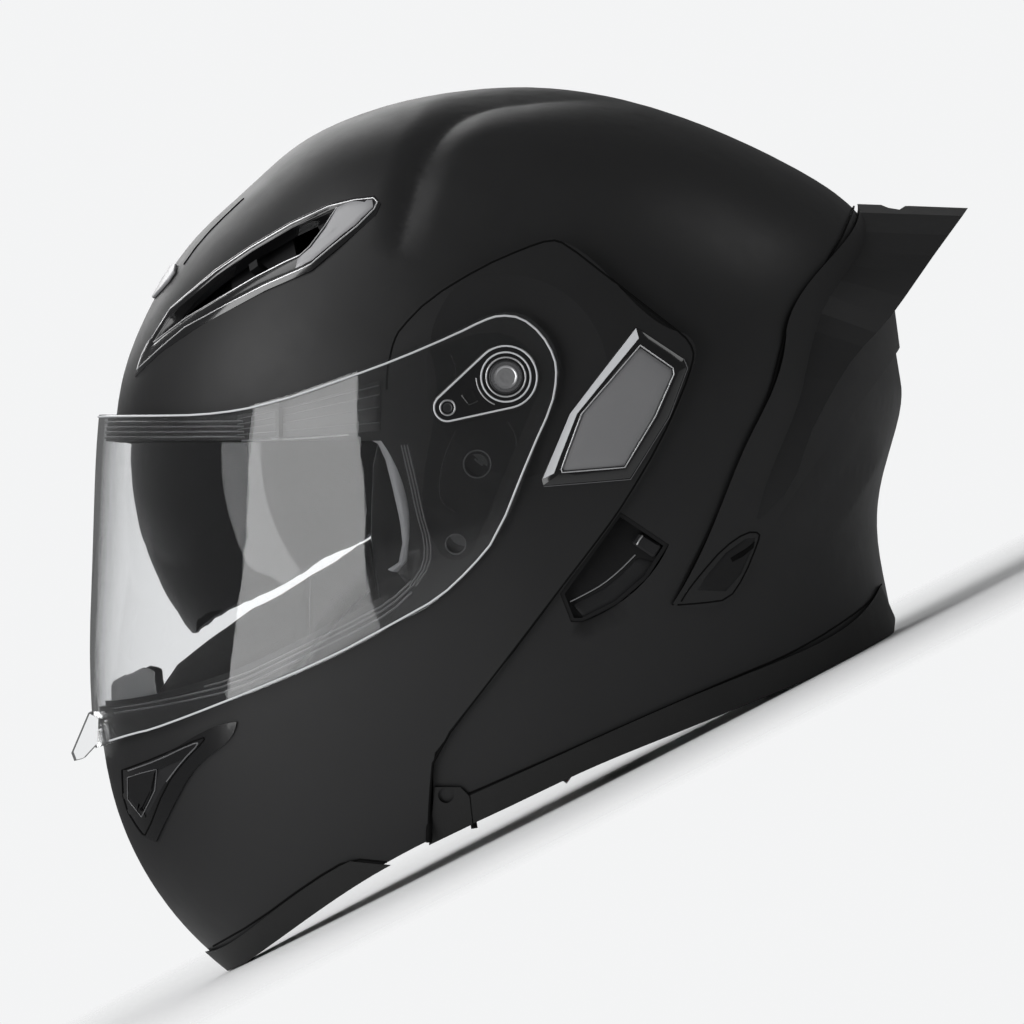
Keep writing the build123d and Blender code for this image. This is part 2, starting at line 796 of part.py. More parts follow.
def make_visor():
    outline_px = [
        [(40, 415), (105, 415), (184, 415), (233, 411), (300, 395), (349, 378), (398, 360),
         (454, 336), (482, 322)],
        [(482, 322), (502, 317), (523, 319), (543, 335), (556, 358), (558, 378), (553, 406)],
        [(553, 406), (533, 455), (495, 539), (469, 570), (439, 598), (400, 620)],
        [(400, 620), (328, 659), (240, 696), (127, 737), (40, 768)],
        [(40, 768), (40, 415)],
    ]
    tab_px = [(90, 712), (73, 752), (76, 760), (84, 758), (99, 742), (100, 718)]
    with BuildPart() as visor:
        add(skin(visor_inside, visor_face, prism(outline_px, -whole, whole)))
        add(prism(polygon(tab_px), -tab_half_width, tab_half_width))
        for sign in (-1, 1):
            add(rod(pivot_px, hub_groove_outer, sign * deep, sign * whole), mode=Mode.SUBTRACT)
    save(visor.part, "visor")


def make_hubs():
    ear_px = (449, 410)
    face = flat_x(visor_outer)
    with BuildPart() as hub:
        with BuildSketch(side.offset(face)):
            with Locations(on_side(pivot_px)):
                Circle(hub_radius)
            with Locations(on_side(ear_px)):
                Circle(hub_ear_radius)
            make_hull()
        extrude(amount=hub_wall)
        chamfer(hub.faces().sort_by(Axis.X)[-1].edges(), hub_wall / 4)
        add(rod(pivot_px, hub_groove_outer, flat_x(visor_inner), face))
        with BuildSketch(side.offset(face + hub_wall - hub_groove_depth)):
            with Locations(on_side(pivot_px)):
                Circle(hub_groove_outer)
                Circle(hub_groove_inner, mode=Mode.SUBTRACT)
        extrude(amount=hub_wall, mode=Mode.SUBTRACT)
        add(rod(pivot_px, shaft_radius + shaft_gap, 0, whole), mode=Mode.SUBTRACT)
    save_pair(hub.part, "visor_hub")


def make_latches():
    hook_px = [
        (395, 775), (398, 764), (410, 760), (462, 770), (464, 780),
        (440, 781), (416, 786), (405, 788), (396, 784),
    ]
    with BuildPart() as strike:
        add(rod(strike_px, strike_radius, hook_x - strike_length / 4, whole))
        add(form(spoke_shares, -shell_wall), mode=Mode.INTERSECT)
    save_pair(strike.part, "latch_strike")
    with BuildPart() as pin:
        add(rod(hook_pivot_px, hook_pin_radius, hook_x - hook_wall / 2, whole))
        add(arm_inside, mode=Mode.INTERSECT)
    save_pair(pin.part, "hook_pin")
    with BuildPart() as hook:
        add(prism(polygon(hook_px), hook_x, hook_x + hook_wall))
        add(rod(hook_pivot_px, hook_pin_radius + shaft_gap, 0, whole), mode=Mode.SUBTRACT)
    save_pair(hook.part, "latch_hook")


def strap_plane():
    """Plane along X and down the straps, from their anchors under the ears."""
    anchor = at(strap_anchor_px)
    down = at(strap_low_px) - anchor
    return Plane(origin=anchor, x_dir=(1, 0, 0), z_dir=Vector(1, 0, 0).cross(down))


def make_straps():
    plane = strap_plane()
    drop = (at(strap_low_px) - at(strap_anchor_px)).length
    wall_x = surface_x(strap_wall_px, -shell_wall)
    start = wall_x - strap_wall / 2 - seat
    route = [
        (start, -rivet_radius - strap_wall),
        (start, rivet_radius + strap_wall),
        (0.90 * start, 0.55 * drop),
        (0.60 * start, 0.93 * drop),
        (0.40 * buckle_length, drop),
    ]
    with BuildPart() as strap:
        with BuildSketch(plane.offset(-strap_width / 2)):
            with BuildLine() as middle:
                FilletPolyline(*route, radius=strap_bend)
            trace(middle.line, line_width=strap_wall)
        extrude(amount=strap_width)
        add(rod(strap_anchor_px, rivet_radius / 2 + seat, 0, whole), mode=Mode.SUBTRACT)
    save_pair(strap.part, "chin_strap")
    with BuildPart() as rivet:
        top = start - strap_wall / 2 - seat
        add(rod(strap_anchor_px, rivet_radius, top - rivet_wall, top))
        fillet(rivet.faces().sort_by(Axis.X)[0].edges(), rivet_wall / 2)
        add(rod(strap_anchor_px, rivet_radius / 2, top, whole))
        add(form(spoke_shares, -shell_wall - seat), mode=Mode.INTERSECT)
    save_pair(rivet.part, "strap_rivet")


def make_buckle():
    plane = strap_plane()
    drop = (at(strap_low_px) - at(strap_anchor_px)).length
    top = drop + strap_wall / 2 + seat
    pin_x = lever_end_share * buckle_length
    barrel_radius = 2 * lever_pin_radius
    pin_y = top + buckle_wall + lever_gap + barrel_radius
    ear_wall = (buckle_width - lever_width) / 2 - lever_gap / 2
    ear_at = (buckle_width - ear_wall) / 2
    with BuildPart() as buckle:
        with BuildSketch(plane.offset(-buckle_width / 2)):
            with Locations((0, top + buckle_wall / 2)):
                Rectangle(buckle_length, buckle_wall)
        extrude(amount=buckle_width)
        for end in (-ear_at, ear_at):
            with BuildSketch(plane.offset(end - ear_wall / 2)):
                with Locations((pin_x, pin_y - barrel_radius / 2 - lever_gap / 2)):
                    Rectangle(2 * barrel_radius, barrel_radius + lever_gap)
                with Locations((pin_x, pin_y)):
                    Circle(barrel_radius)
                    Circle(lever_pin_radius, mode=Mode.SUBTRACT)
            extrude(amount=ear_wall)
    save(buckle.part, "strap_buckle")
    with BuildPart() as pin:
        with BuildSketch(plane.offset(-buckle_width / 2)):
            with Locations((pin_x, pin_y)):
                Circle(lever_pin_radius)
        extrude(amount=buckle_width)
    save(pin.part, "buckle_pin")
    with BuildPart() as lever:
        with BuildSketch(plane.offset(-lever_width / 2)):
            with Locations((pin_x, pin_y)):
                Circle(barrel_radius)
            with Locations((pin_x + lever_length / 2, pin_y - barrel_radius + lever_wall / 2)):
                Rectangle(lever_length, lever_wall)
            with Locations((pin_x, pin_y)):
                Circle(lever_pin_radius + shaft_gap, mode=Mode.SUBTRACT)
        extrude(amount=lever_width)
    save(lever.part, "buckle_lever")
    print("buckle lever turns at", plane.from_local_coords((pin_x, pin_y, 0)), "about", plane.z_dir)


outer_shell = make_outer_shell()
make_rear_spoiler()
make_rims(outer_shell)
make_brow_seal()
make_top_vents()
make_foam()
make_crown_pad()
make_cheek_pads()
make_neck_roll()
make_sun_visor()
make_sun_visor_posts()
make_slider()
make_pivots()
chin_bar = make_chin_bar()
make_chin_rim(chin_bar)
make_chin_pad()
make_release_button()
make_lower_seal()
make_nose_guard()
make_base_plates()
make_side_inserts()
make_chin_vents()
make_visor()
make_hubs()
make_latches()
make_straps()
make_buckle()
print("chin bar and visor turn at", at(pivot_px))
print("sun visor turns at", at(sun_pivot_px))
print("knob turns at", at(knob_pivot_px))
print("hooks turn at", at(hook_pivot_px))
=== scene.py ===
"""Modular motorcycle helmet: its finishes, soft goods, trim and light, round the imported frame.

The helmet stands leaning forward on z = 0. The front faces -Y and the rider's left is +X.
Trim is laid out as it is seen from the rider's left, on a plane through the ear pivot:
across is to the rear and up is to the crown, both square to the lean, in millimetres.
"""
import json
import math

import bmesh
import bpy
from mathutils import Matrix, Vector
from mathutils.bvhtree import BVHTree

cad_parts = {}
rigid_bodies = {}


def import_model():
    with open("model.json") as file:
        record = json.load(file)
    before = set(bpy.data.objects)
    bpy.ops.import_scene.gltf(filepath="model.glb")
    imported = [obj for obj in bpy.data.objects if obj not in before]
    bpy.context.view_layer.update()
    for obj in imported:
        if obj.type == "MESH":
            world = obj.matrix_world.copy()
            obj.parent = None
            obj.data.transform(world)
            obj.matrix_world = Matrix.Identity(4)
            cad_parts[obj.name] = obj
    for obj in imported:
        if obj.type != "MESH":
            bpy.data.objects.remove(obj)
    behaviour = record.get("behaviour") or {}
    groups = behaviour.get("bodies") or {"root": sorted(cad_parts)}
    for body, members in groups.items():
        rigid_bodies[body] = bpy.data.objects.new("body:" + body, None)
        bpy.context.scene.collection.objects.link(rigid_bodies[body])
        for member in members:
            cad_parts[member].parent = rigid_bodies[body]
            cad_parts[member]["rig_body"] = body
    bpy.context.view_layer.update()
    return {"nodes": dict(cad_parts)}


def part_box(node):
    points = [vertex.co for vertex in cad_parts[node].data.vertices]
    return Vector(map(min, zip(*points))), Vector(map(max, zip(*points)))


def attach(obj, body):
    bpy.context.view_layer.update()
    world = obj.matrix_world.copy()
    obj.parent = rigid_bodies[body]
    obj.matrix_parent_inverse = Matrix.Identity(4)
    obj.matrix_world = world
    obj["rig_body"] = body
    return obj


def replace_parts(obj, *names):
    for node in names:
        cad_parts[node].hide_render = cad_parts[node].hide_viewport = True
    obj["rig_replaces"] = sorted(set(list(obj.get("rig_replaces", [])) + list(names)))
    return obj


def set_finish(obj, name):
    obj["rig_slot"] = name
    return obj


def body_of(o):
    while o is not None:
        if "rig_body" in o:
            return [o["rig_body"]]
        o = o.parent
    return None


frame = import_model()
nodes = frame["nodes"]

MM = 0.001
PIVOT = Vector((0, 13.2 * MM, 160 * MM))
LEAN_DEG = 27
LEAN = math.radians(LEAN_DEG)
TO_REAR = Vector((0, math.cos(LEAN), -math.sin(LEAN)))
TO_CROWN = Vector((0, math.sin(LEAN), math.cos(LEAN)))
TO_LEFT = Vector((1, 0, 0))
SIDES = {"left": 1, "right": -1}

# The side view: its size, its scale and where it shows the ear pivot
IMAGE_PX = 1024
PX_MM = 0.4
PIVOT_PX = (506, 380)

# Where rays at the helmet start, in millimetres from the ear pivot
FAR_LEFT = 220
FAR_FRONT = -330


def place(across, up, out=0.0):
    """A point in metres from millimetres to the rear, to the crown and to the rider's left."""
    return PIVOT + TO_REAR * (across * MM) + TO_CROWN * (up * MM) + Vector((out * MM, 0, 0))


def px(x, y):
    """Millimetres to the rear and to the crown from where the side view shows a point."""
    return (x - PIVOT_PX[0]) * PX_MM, (PIVOT_PX[1] - y) * PX_MM


# Materials

def new_group(name, inputs, outputs):
    group = bpy.data.node_groups.new(name, "ShaderNodeTree")
    for label, kind, value in inputs:
        socket = group.interface.new_socket(label, in_out="INPUT", socket_type="NodeSocket" + kind)
        if value is not None:
            socket.default_value = value
    for label, kind in outputs:
        group.interface.new_socket(label, in_out="OUTPUT", socket_type="NodeSocket" + kind)
    into = group.nodes.new("NodeGroupInput")
    out = group.nodes.new("NodeGroupOutput")
    return group, into, out


def add_node(tree, kind, **values):
    """A shader node, its properties and its plain inputs set by name."""
    node = tree.nodes.new("ShaderNode" + kind)
    for key, value in values.items():
        if hasattr(node, key):
            setattr(node, key, value)
        else:
            node.inputs[key.replace("_", " ")].default_value = value
    return node


def math_node(tree, operation, *values):
    """The output of a math node, whose values are numbers or other nodes' outputs."""
    node = tree.nodes.new("ShaderNodeMath")
    node.operation = operation
    for socket, value in zip(node.inputs, values):
        if isinstance(value, (int, float)):
            socket.default_value = value
        else:
            tree.links.new(value, socket)
    return node.outputs[0]


def mix_colour(tree, factor, first, second):
    node = tree.nodes.new("ShaderNodeMix")
    node.data_type = "RGBA"
    for socket, value in ((node.inputs[0], factor), (node.inputs[6], first), (node.inputs[7], second)):
        if isinstance(value, (int, float, tuple)):
            socket.default_value = value
        else:
            tree.links.new(value, socket)
    return node.outputs[2]


def make_grain_group():
    """Moulding grain, faint clouding of the colour, and handling marks in the gloss."""
    group, into, out = new_group(
        "moulded_grain",
        [("Vector", "Vector", None), ("Size", "Float", 900.0), ("Clouds", "Float", 18.0)],
        [("Height", "Float"), ("Cloud", "Float"), ("Marks", "Float")],
    )
    fine = add_node(group, "TexNoise", Scale=1.0, Detail=3.0, Roughness=0.6)
    clouds = add_node(group, "TexNoise", Scale=1.0, Detail=5.0, Roughness=0.55)
    marks = add_node(group, "TexNoise", Scale=60.0, Detail=6.0, Roughness=0.7)
    for node, socket in ((fine, "Size"), (clouds, "Clouds")):
        group.links.new(into.outputs["Vector"], node.inputs["Vector"])
        group.links.new(into.outputs[socket], node.inputs["Scale"])
    group.links.new(into.outputs["Vector"], marks.inputs["Vector"])
    group.links.new(fine.outputs["Fac"], out.inputs["Height"])
    group.links.new(clouds.outputs["Fac"], out.inputs["Cloud"])
    group.links.new(marks.outputs["Fac"], out.inputs["Marks"])
    return group


def make_weave_group():
    """Plain weave of cloth or webbing, seen along whichever axis its thread runs."""
    group, into, out = new_group(
        "thread_weave",
        [("Vector", "Vector", None), ("Threads", "Float", 900.0)],
        [("Height", "Float"), ("Shade", "Float")],
    )
    split = group.nodes.new("ShaderNodeSeparateXYZ")
    group.links.new(into.outputs["Vector"], split.inputs[0])
    waves = []
    for axis in range(3):
        scaled = math_node(group, "MULTIPLY", split.outputs[axis], into.outputs["Threads"])
        waves.append(math_node(group, "SINE", scaled))
    first = math_node(group, "MULTIPLY", waves[0], waves[1])
    second = math_node(group, "MULTIPLY", waves[1], waves[2])
    both = math_node(group, "ADD", first, second)
    half = math_node(group, "MULTIPLY_ADD", both, 0.25, 0.5)
    group.links.new(half, out.inputs["Height"])
    fuzz = add_node(group, "TexNoise", Scale=220.0, Detail=4.0)
    group.links.new(into.outputs["Vector"], fuzz.inputs["Vector"])
    group.links.new(math_node(group, "MULTIPLY", half, fuzz.outputs["Fac"]), out.inputs["Shade"])
    return group


def make_bead_group():
    """Fused beads of expanded foam, with a mask of their edges for painted shade in the crevices between
    them.
    """
    group, into, out = new_group(
        "foam_beads", [("Vector", "Vector", None), ("Beads", "Float", 300.0)],
        [("Height", "Float"), ("Edge", "Float")],
    )
    cells = add_node(group, "TexVoronoi", feature="DISTANCE_TO_EDGE")
    group.links.new(into.outputs["Vector"], cells.inputs["Vector"])
    group.links.new(into.outputs["Beads"], cells.inputs["Scale"])
    group.links.new(cells.outputs["Distance"], out.inputs["Height"])
    edge = math_node(group, "GREATER_THAN", cells.outputs["Distance"], 0.05)
    group.links.new(edge, out.inputs["Edge"])
    return group


GRAIN = make_grain_group()
WEAVE = make_weave_group()
BEADS = make_bead_group()


def principled(name, colour, roughness, metallic=0.0, **plain):
    """A new material with its shader; plain holds further shader inputs by name."""
    material = bpy.data.materials.new(name)
    material.use_nodes = True
    material.diffuse_color = (*colour, 1.0)
    tree = material.node_tree
    shader = tree.nodes["Principled BSDF"]
    shader.inputs["Base Color"].default_value = (*colour, 1.0)
    shader.inputs["Roughness"].default_value = roughness
    shader.inputs["Metallic"].default_value = metallic
    for key, value in plain.items():
        shader.inputs[key.replace("_", " ")].default_value = value
    coordinates = tree.nodes.new("ShaderNodeTexCoord")
    return material, tree, shader, coordinates.outputs["Object"]


def bump_into(tree, shader, height, strength, distance):
    bump = add_node(tree, "Bump", Strength=strength, Distance=distance)
    tree.links.new(height, bump.inputs["Height"])
    tree.links.new(bump.outputs["Normal"], shader.inputs["Normal"])


def moulded(name, colour, roughness, grain_size=1400.0, grain=0.12, clouds=22.0, spread=0.35,
            metallic=0.0, **plain):
    """Moulded plastic, rubber or cast metal with grain, clouding and handling marks."""
    material, tree, shader, where = principled(name, colour, roughness, metallic, **plain)
    grains = tree.nodes.new("ShaderNodeGroup")
    grains.node_tree = GRAIN
    grains.inputs["Size"].default_value = grain_size
    grains.inputs["Clouds"].default_value = clouds
    tree.links.new(where, grains.inputs["Vector"])
    lighter = tuple(min(1.0, c * (1 + spread) + 0.002) for c in colour) + (1.0,)
    darker = tuple(c * (1 - spread) for c in colour) + (1.0,)
    blended = mix_colour(tree, grains.outputs["Cloud"], darker, lighter)
    tree.links.new(blended, shader.inputs["Base Color"])
    marks = math_node(tree, "MULTIPLY_ADD", grains.outputs["Marks"], 0.16, roughness - 0.08)
    tree.links.new(marks, shader.inputs["Roughness"])
    bump_into(tree, shader, grains.outputs["Height"], grain, 0.0004)
    return material


def woven(name, colour, threads, strength=0.5, roughness=0.85):
    material, tree, shader, where = principled(name, colour, roughness, Sheen_Weight=0.25)
    shader.inputs["Sheen Roughness"].default_value = 0.5
    cloth = tree.nodes.new("ShaderNodeGroup")
    cloth.node_tree = WEAVE
    cloth.inputs["Threads"].default_value = threads
    tree.links.new(where, cloth.inputs["Vector"])
    lighter = tuple(min(1.0, c * 1.9 + 0.004) for c in colour) + (1.0,)
    darker = tuple(c * 0.5 for c in colour) + (1.0,)
    tree.links.new(mix_colour(tree, cloth.outputs["Shade"], darker, lighter), shader.inputs["Base Color"])
    bump_into(tree, shader, cloth.outputs["Height"], strength, 0.0005)
    return material


def beaded(name, colour):
    material, tree, shader, where = principled(name, colour, 0.8)
    beads = tree.nodes.new("ShaderNodeGroup")
    beads.node_tree = BEADS
    beads.inputs["Beads"].default_value = 280.0
    tree.links.new(where, beads.inputs["Vector"])
    # The cells' edges take the darker colour: painted shade in the crevices between the foam beads.
    darker = tuple(c * 0.45 for c in colour) + (1.0,)
    blended = mix_colour(tree, beads.outputs["Edge"], darker, (*colour, 1.0))
    tree.links.new(blended, shader.inputs["Base Color"])
    bump_into(tree, shader, beads.outputs["Height"], 0.5, 0.0006)
    return material


def clear(name, tint, roughness):
    """Clear or smoked sheet with faint wiping marks in its gloss."""
    material, tree, shader, where = principled(name, tint, roughness, IOR=1.49, Transmission_Weight=1.0)
    wiped = add_node(tree, "TexNoise", Scale=35.0, Detail=6.0, Roughness=0.7)
    tree.links.new(where, wiped.inputs["Vector"])
    value = math_node(tree, "MULTIPLY_ADD", wiped.outputs["Fac"], 0.02, roughness)
    tree.links.new(value, shader.inputs["Roughness"])
    return material


SHELL = moulded("matte_shell_paint", (0.012, 0.012, 0.0125), 0.48, 1500, 0.05, 9, 0.14,
                Specular_IOR_Level=0.3)
BLACK = moulded("black_plastic", (0.005, 0.005, 0.0055), 0.55, 1100, 0.15, Specular_IOR_Level=0.25)
DARK = moulded("dark_grained_plastic", (0.012, 0.012, 0.013), 0.42, 1300, 0.12, Specular_IOR_Level=0.35)
GLOSS = moulded("gloss_black_plastic", (0.006, 0.006, 0.0065), 0.16, 700, 0.01, Coat_Weight=0.3)
PLATE = moulded("satin_black_plate", (0.004, 0.004, 0.0045), 0.38, 1500, 0.04, Specular_IOR_Level=0.25)
GREY = moulded("satin_grey_plastic", (0.20, 0.20, 0.205), 0.36, 900, 0.08, 14, 0.14)
SATIN = moulded("satin_metal", (0.52, 0.52, 0.53), 0.30, 1600, 0.06, 12, 0.12, metallic=0.9)
# Part-metal beads along edges of the hubs, the side inserts and the top vents: their pale colour is partly
# painted highlight where those edges catch the light.
CHROME_AND_HIGHLIGHT = moulded("chrome_trim_and_painted_highlight", (0.62, 0.62, 0.63), 0.2, 1500, 0.03, 20, 0.1, metallic=0.6)
STEEL = moulded("turned_steel", (0.36, 0.36, 0.37), 0.26, 1800, 0.08, 30, 0.12, metallic=1.0)
DARK_STEEL = moulded("blackened_steel", (0.06, 0.06, 0.062), 0.3, 1500, 0.06, 30, 0.2, metallic=0.7)
RUBBER = moulded("soft_rubber", (0.010, 0.010, 0.010), 0.58, 1000, 0.15, Specular_IOR_Level=0.3)
SEAL = moulded("seal_rubber", (0.012, 0.012, 0.0125), 0.38, 900, 0.06, Specular_IOR_Level=0.4)
# Glossy grey lines on the lips, ribs and rims of black seals and plastics: their grey, lighter than the parts
# they lie on, is painted highlight.
LIP_HIGHLIGHT = moulded("glossy_lip_painted_highlight", (0.11, 0.11, 0.114), 0.22, 900, 0.03)
PALE_LIP = moulded("grey_eye_port_trim", (0.34, 0.34, 0.35), 0.3, 900, 0.04, 20, 0.12)
# Near-black beads and plates along gaps, seams, slots and grooves: painted shade where the real parts only
# shade each other.
PAINTED_GAP_SHADE = moulded("shadow_gap", (0.0015, 0.0015, 0.0015), 0.8, 900, 0.05, Specular_IOR_Level=0.1)
RED = moulded("red_pull_plastic", (0.36, 0.012, 0.012), 0.32, 1100, 0.15)
FOAM = beaded("expanded_foam", (0.018, 0.018, 0.019))
LINING = woven("brushed_lining", (0.020, 0.020, 0.022), 3200.0)
MESH = woven("open_mesh_lining", (0.034, 0.034, 0.037), 1900.0, 0.9)
WEBBING = woven("strap_webbing", (0.020, 0.020, 0.020), 2300.0, 1.0, 0.7)
STITCH = woven("stitch_thread", (0.055, 0.055, 0.058), 5200.0, 0.6, 0.7)
# Lining behind the eye port, much darker than the other linings: its near-black colour is painted shade
# inside the helmet.
SHADED_SIDE_LINING = woven("side_lining_painted_shade", (0.003, 0.003, 0.0035), 7000.0, 0.1, 0.9)
CLEAR = clear("clear_visor_sheet", (0.97, 0.975, 0.98), 0.010)
SMOKE = clear("smoked_visor_sheet", (0.045, 0.045, 0.050), 0.03)
# Pale beads and strips on the edges of the clear visor, the hubs and the side inserts: painted highlight
# where those edges catch the light.
PAINTED_EDGE_HIGHLIGHT = moulded("painted_edge_highlight", (0.62, 0.63, 0.65), 0.25, 1500, 0.05, 20, 0.1)

FINISHES = {
    "outer_shell": SHELL, "rear_spoiler": SHELL, "chin_bar": SHELL, "neck_rim": RUBBER, "rim_end": RUBBER,
    "chin_rim": RUBBER, "brow_seal": SEAL, "lower_seal": SEAL, "nose_guard": GREY, "top_vent_frame": GLOSS,
    "top_vent_shutter": BLACK, "protective_foam": FOAM, "crown_pad": MESH, "cheek_pad": LINING,
    "neck_roll": LINING, "chin_pad": LINING, "sun_visor_post": BLACK, "slider_tray": BLACK,
    "pivot_shaft": STEEL, "pivot_cap": STEEL, "pivot_bush": BLACK, "latch_strike": STEEL, "latch_hook": STEEL,
    "hook_pin": STEEL, "chin_strap": WEBBING, "strap_rivet": STEEL, "strap_buckle": STEEL,
    "buckle_pin": STEEL, "buckle_lever": RED, "base_plate": PLATE, "base_screws": DARK_STEEL,
    "side_insert_frame": GLOSS, "side_insert": GREY, "chin_vent_frame": GLOSS, "chin_vent_grille": DARK,
    "visor": CLEAR, "visor_hub": GLOSS, "sun_visor": SMOKE, "sun_visor_knob": DARK, "release_button": DARK,
}


def sort_of(node_name):
    for side in SIDES:
        if node_name.endswith("_" + side):
            return node_name[:-len(side) - 1]
    return node_name


for node_name, node in nodes.items():
    node.data.materials.clear()
    node.data.materials.append(FINISHES[sort_of(node_name)])
    for face in node.data.polygons:
        face.material_index = 0

# Stage

VIEW_CENTRE = place(*px(IMAGE_PX / 2, IMAGE_PX / 2))
VIEW_DISTANCE = 6.0
VIEW_WIDTH = IMAGE_PX * PX_MM * MM
STUDIO_LEVEL = 0.16


def make_camera():
    bpy.ops.object.camera_add()
    camera = bpy.context.object
    camera.name = "camera"
    camera.data.sensor_width = 36.0
    camera.data.lens = camera.data.sensor_width * VIEW_DISTANCE / VIEW_WIDTH
    camera.data.clip_end = 100.0
    turned = Matrix((TO_REAR, TO_CROWN, (1, 0, 0))).transposed().to_4x4()
    camera.matrix_world = Matrix.Translation(VIEW_CENTRE + Vector((VIEW_DISTANCE, 0, 0))) @ turned
    bpy.context.scene.camera = camera


def add_softbox(name, where, size, power):
    bpy.ops.object.light_add(type="AREA", location=where)
    lamp = bpy.context.object
    lamp.name = name
    lamp.data.shape = "RECTANGLE"
    lamp.data.size, lamp.data.size_y = size
    lamp.data.energy = power
    return lamp


def make_light(name, where, aim, size, power):
    lamp = add_softbox(name, where, size, power)
    lamp.rotation_euler = (Vector(aim) - Vector(where)).to_track_quat("-Z", "Y").to_euler()


def make_world():
    world = bpy.data.worlds.new("pale_studio")
    bpy.context.scene.world = world
    world.use_nodes = True
    tree = world.node_tree
    background = tree.nodes["Background"]
    background.inputs["Color"].default_value = (0.90, 0.905, 0.91, 1.0)
    path = tree.nodes.new("ShaderNodeLightPath")
    bounces = math_node(tree, "ADD", path.outputs["Diffuse Depth"], path.outputs["Glossy Depth"])
    straight = math_node(tree, "LESS_THAN", bounces, 0.5)
    through = math_node(tree, "MULTIPLY", path.outputs["Is Transmission Ray"], straight)
    seen = math_node(tree, "MAXIMUM", path.outputs["Is Camera Ray"], through)
    glossy = math_node(tree, "MULTIPLY", path.outputs["Is Glossy Ray"], STUDIO_LEVEL)
    shown = math_node(tree, "MAXIMUM", seen, glossy)
    strength = math_node(tree, "MAXIMUM", shown, STUDIO_LEVEL)
    tree.links.new(strength, background.inputs["Strength"])


def make_floor():
    bpy.ops.mesh.primitive_circle_add(vertices=96, radius=1.6, fill_type="NGON", location=(0, 0, -0.0004))
    floor = bpy.context.object
    floor.name = "floor"
    material, tree, shader, where = principled("pale_floor", (0.86, 0.865, 0.87), 0.8)
    length = tree.nodes.new("ShaderNodeVectorMath")
    length.operation = "LENGTH"
    tree.links.new(where, length.inputs[0])
    fade = add_node(tree, "MapRange", clamp=True)
    fade.inputs["From Min"].default_value = 0.22
    fade.inputs["From Max"].default_value = 0.75
    tree.links.new(length.outputs["Value"], fade.inputs["Value"])
    see_through = tree.nodes.new("ShaderNodeBsdfTransparent")
    blend = tree.nodes.new("ShaderNodeMixShader")
    below = tree.nodes.new("ShaderNodeNewGeometry").outputs["Backfacing"]
    tree.links.new(math_node(tree, "MAXIMUM", fade.outputs["Result"], below), blend.inputs[0])
    tree.links.new(shader.outputs[0], blend.inputs[1])
    tree.links.new(see_through.outputs[0], blend.inputs[2])
    tree.links.new(blend.outputs[0], tree.nodes["Material Output"].inputs["Surface"])
    floor.data.materials.append(material)


def make_strip():
    """A tall softbox off the front left, which the visor mirrors as one upright band."""
    turn, rise, reach = math.radians(44), math.radians(-11), 2.6
    ahead = Vector((math.cos(turn), 0, 0)) - TO_REAR * math.sin(turn)
    heading = ahead * math.cos(rise) + TO_CROWN * math.sin(rise)
    middle = Vector((0, 0, 0.11)) + heading * reach
    lamp = add_softbox("strip_softbox", middle, (1.56, 1.9), 30)
    across = TO_CROWN.cross(heading).normalized()
    up = heading.cross(across)
    lamp.matrix_world = Matrix.Translation(middle) @ Matrix((across, up, heading)).transposed().to_4x4()


make_camera()
make_world()
make_floor()
make_light("key_softbox", (0.9, -1.7, 1.9), (0, -0.05, 0.14), (1.5, 1.0), 26)
make_light("top_softbox", (0.1, -0.5, 2.1), (0, 0, 0.15), (1.2, 1.0), 9)
make_light("rear_softbox", (0.5, 2.2, 0.9), (0, 0.0, 0.12), (1.0, 1.4), 9)
make_light("back_softbox", (-1.9, -0.2, 1.2), (0, 0.0, 0.12), (1.2, 1.0), 12)
make_light("low_softbox", (0.5, -0.7, -1.5), (0, 0.0, 0.1), (1.2, 1.2), 9)
make_strip()
bpy.context.scene.view_settings.view_transform = "Standard"

# Modelling helpers

def select_only(piece):
    bpy.ops.object.select_all(action="DESELECT")
    piece.select_set(True)
    bpy.context.view_layer.objects.active = piece


def finish_piece(piece, name, body, material, slot, smooth_deg):
    """Names a piece, gives it one finish, and lets it move with its body."""
    piece.name = name
    piece.data.name = name
    piece.data.materials.clear()
    piece.data.materials.append(material)
    select_only(piece)
    bpy.ops.object.transform_apply(location=True, rotation=True, scale=True)
    bpy.ops.object.shade_smooth_by_angle(angle=math.radians(smooth_deg))
    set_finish(piece, slot)
    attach(piece, body)
    return piece


def apply_modifiers(piece):
    select_only(piece)
    for modifier in list(piece.modifiers):
        bpy.ops.object.modifier_apply(modifier=modifier.name)


def add_object(name, data):
    """A new object in the scene for a mesh or a curve."""
    piece = bpy.data.objects.new(name, data)
    bpy.context.scene.collection.objects.link(piece)
    return piece


def new_mesh(name, verts, faces):
    mesh = bpy.data.meshes.new(name)
    mesh.from_pydata(verts, [], faces)
    return mesh


def grid_faces(rows, across):
    """Four-sided faces between rows of points that have as many points each."""
    faces = []
    for row in range(rows - 1):
        for step in range(across - 1):
            corner = row * across + step
            faces.append((corner, corner + 1, corner + across + 1, corner + across))
    return faces


def give_wall(piece, thick, side, bevel, segments=2, angle=30):
    """Gives a sheet its thickness and small rounded edges."""
    wall = piece.modifiers.new("wall", "SOLIDIFY")
    wall.thickness = thick * MM
    wall.offset = side
    if bevel:
        edge = piece.modifiers.new("edge", "BEVEL")
        edge.width = bevel * MM
        edge.segments = segments
        edge.limit_method = "ANGLE"
        edge.angle_limit = math.radians(angle)
    apply_modifiers(piece)


def remeshed(piece, voxel, rounds):
    """Gives a closed piece even faces and rounds its edges."""
    remesh = piece.modifiers.new("remesh", "REMESH")
    remesh.mode = "VOXEL"
    remesh.voxel_size = voxel * MM
    smooth = piece.modifiers.new("smooth", "SMOOTH")
    smooth.factor = 0.5
    smooth.iterations = rounds
    apply_modifiers(piece)


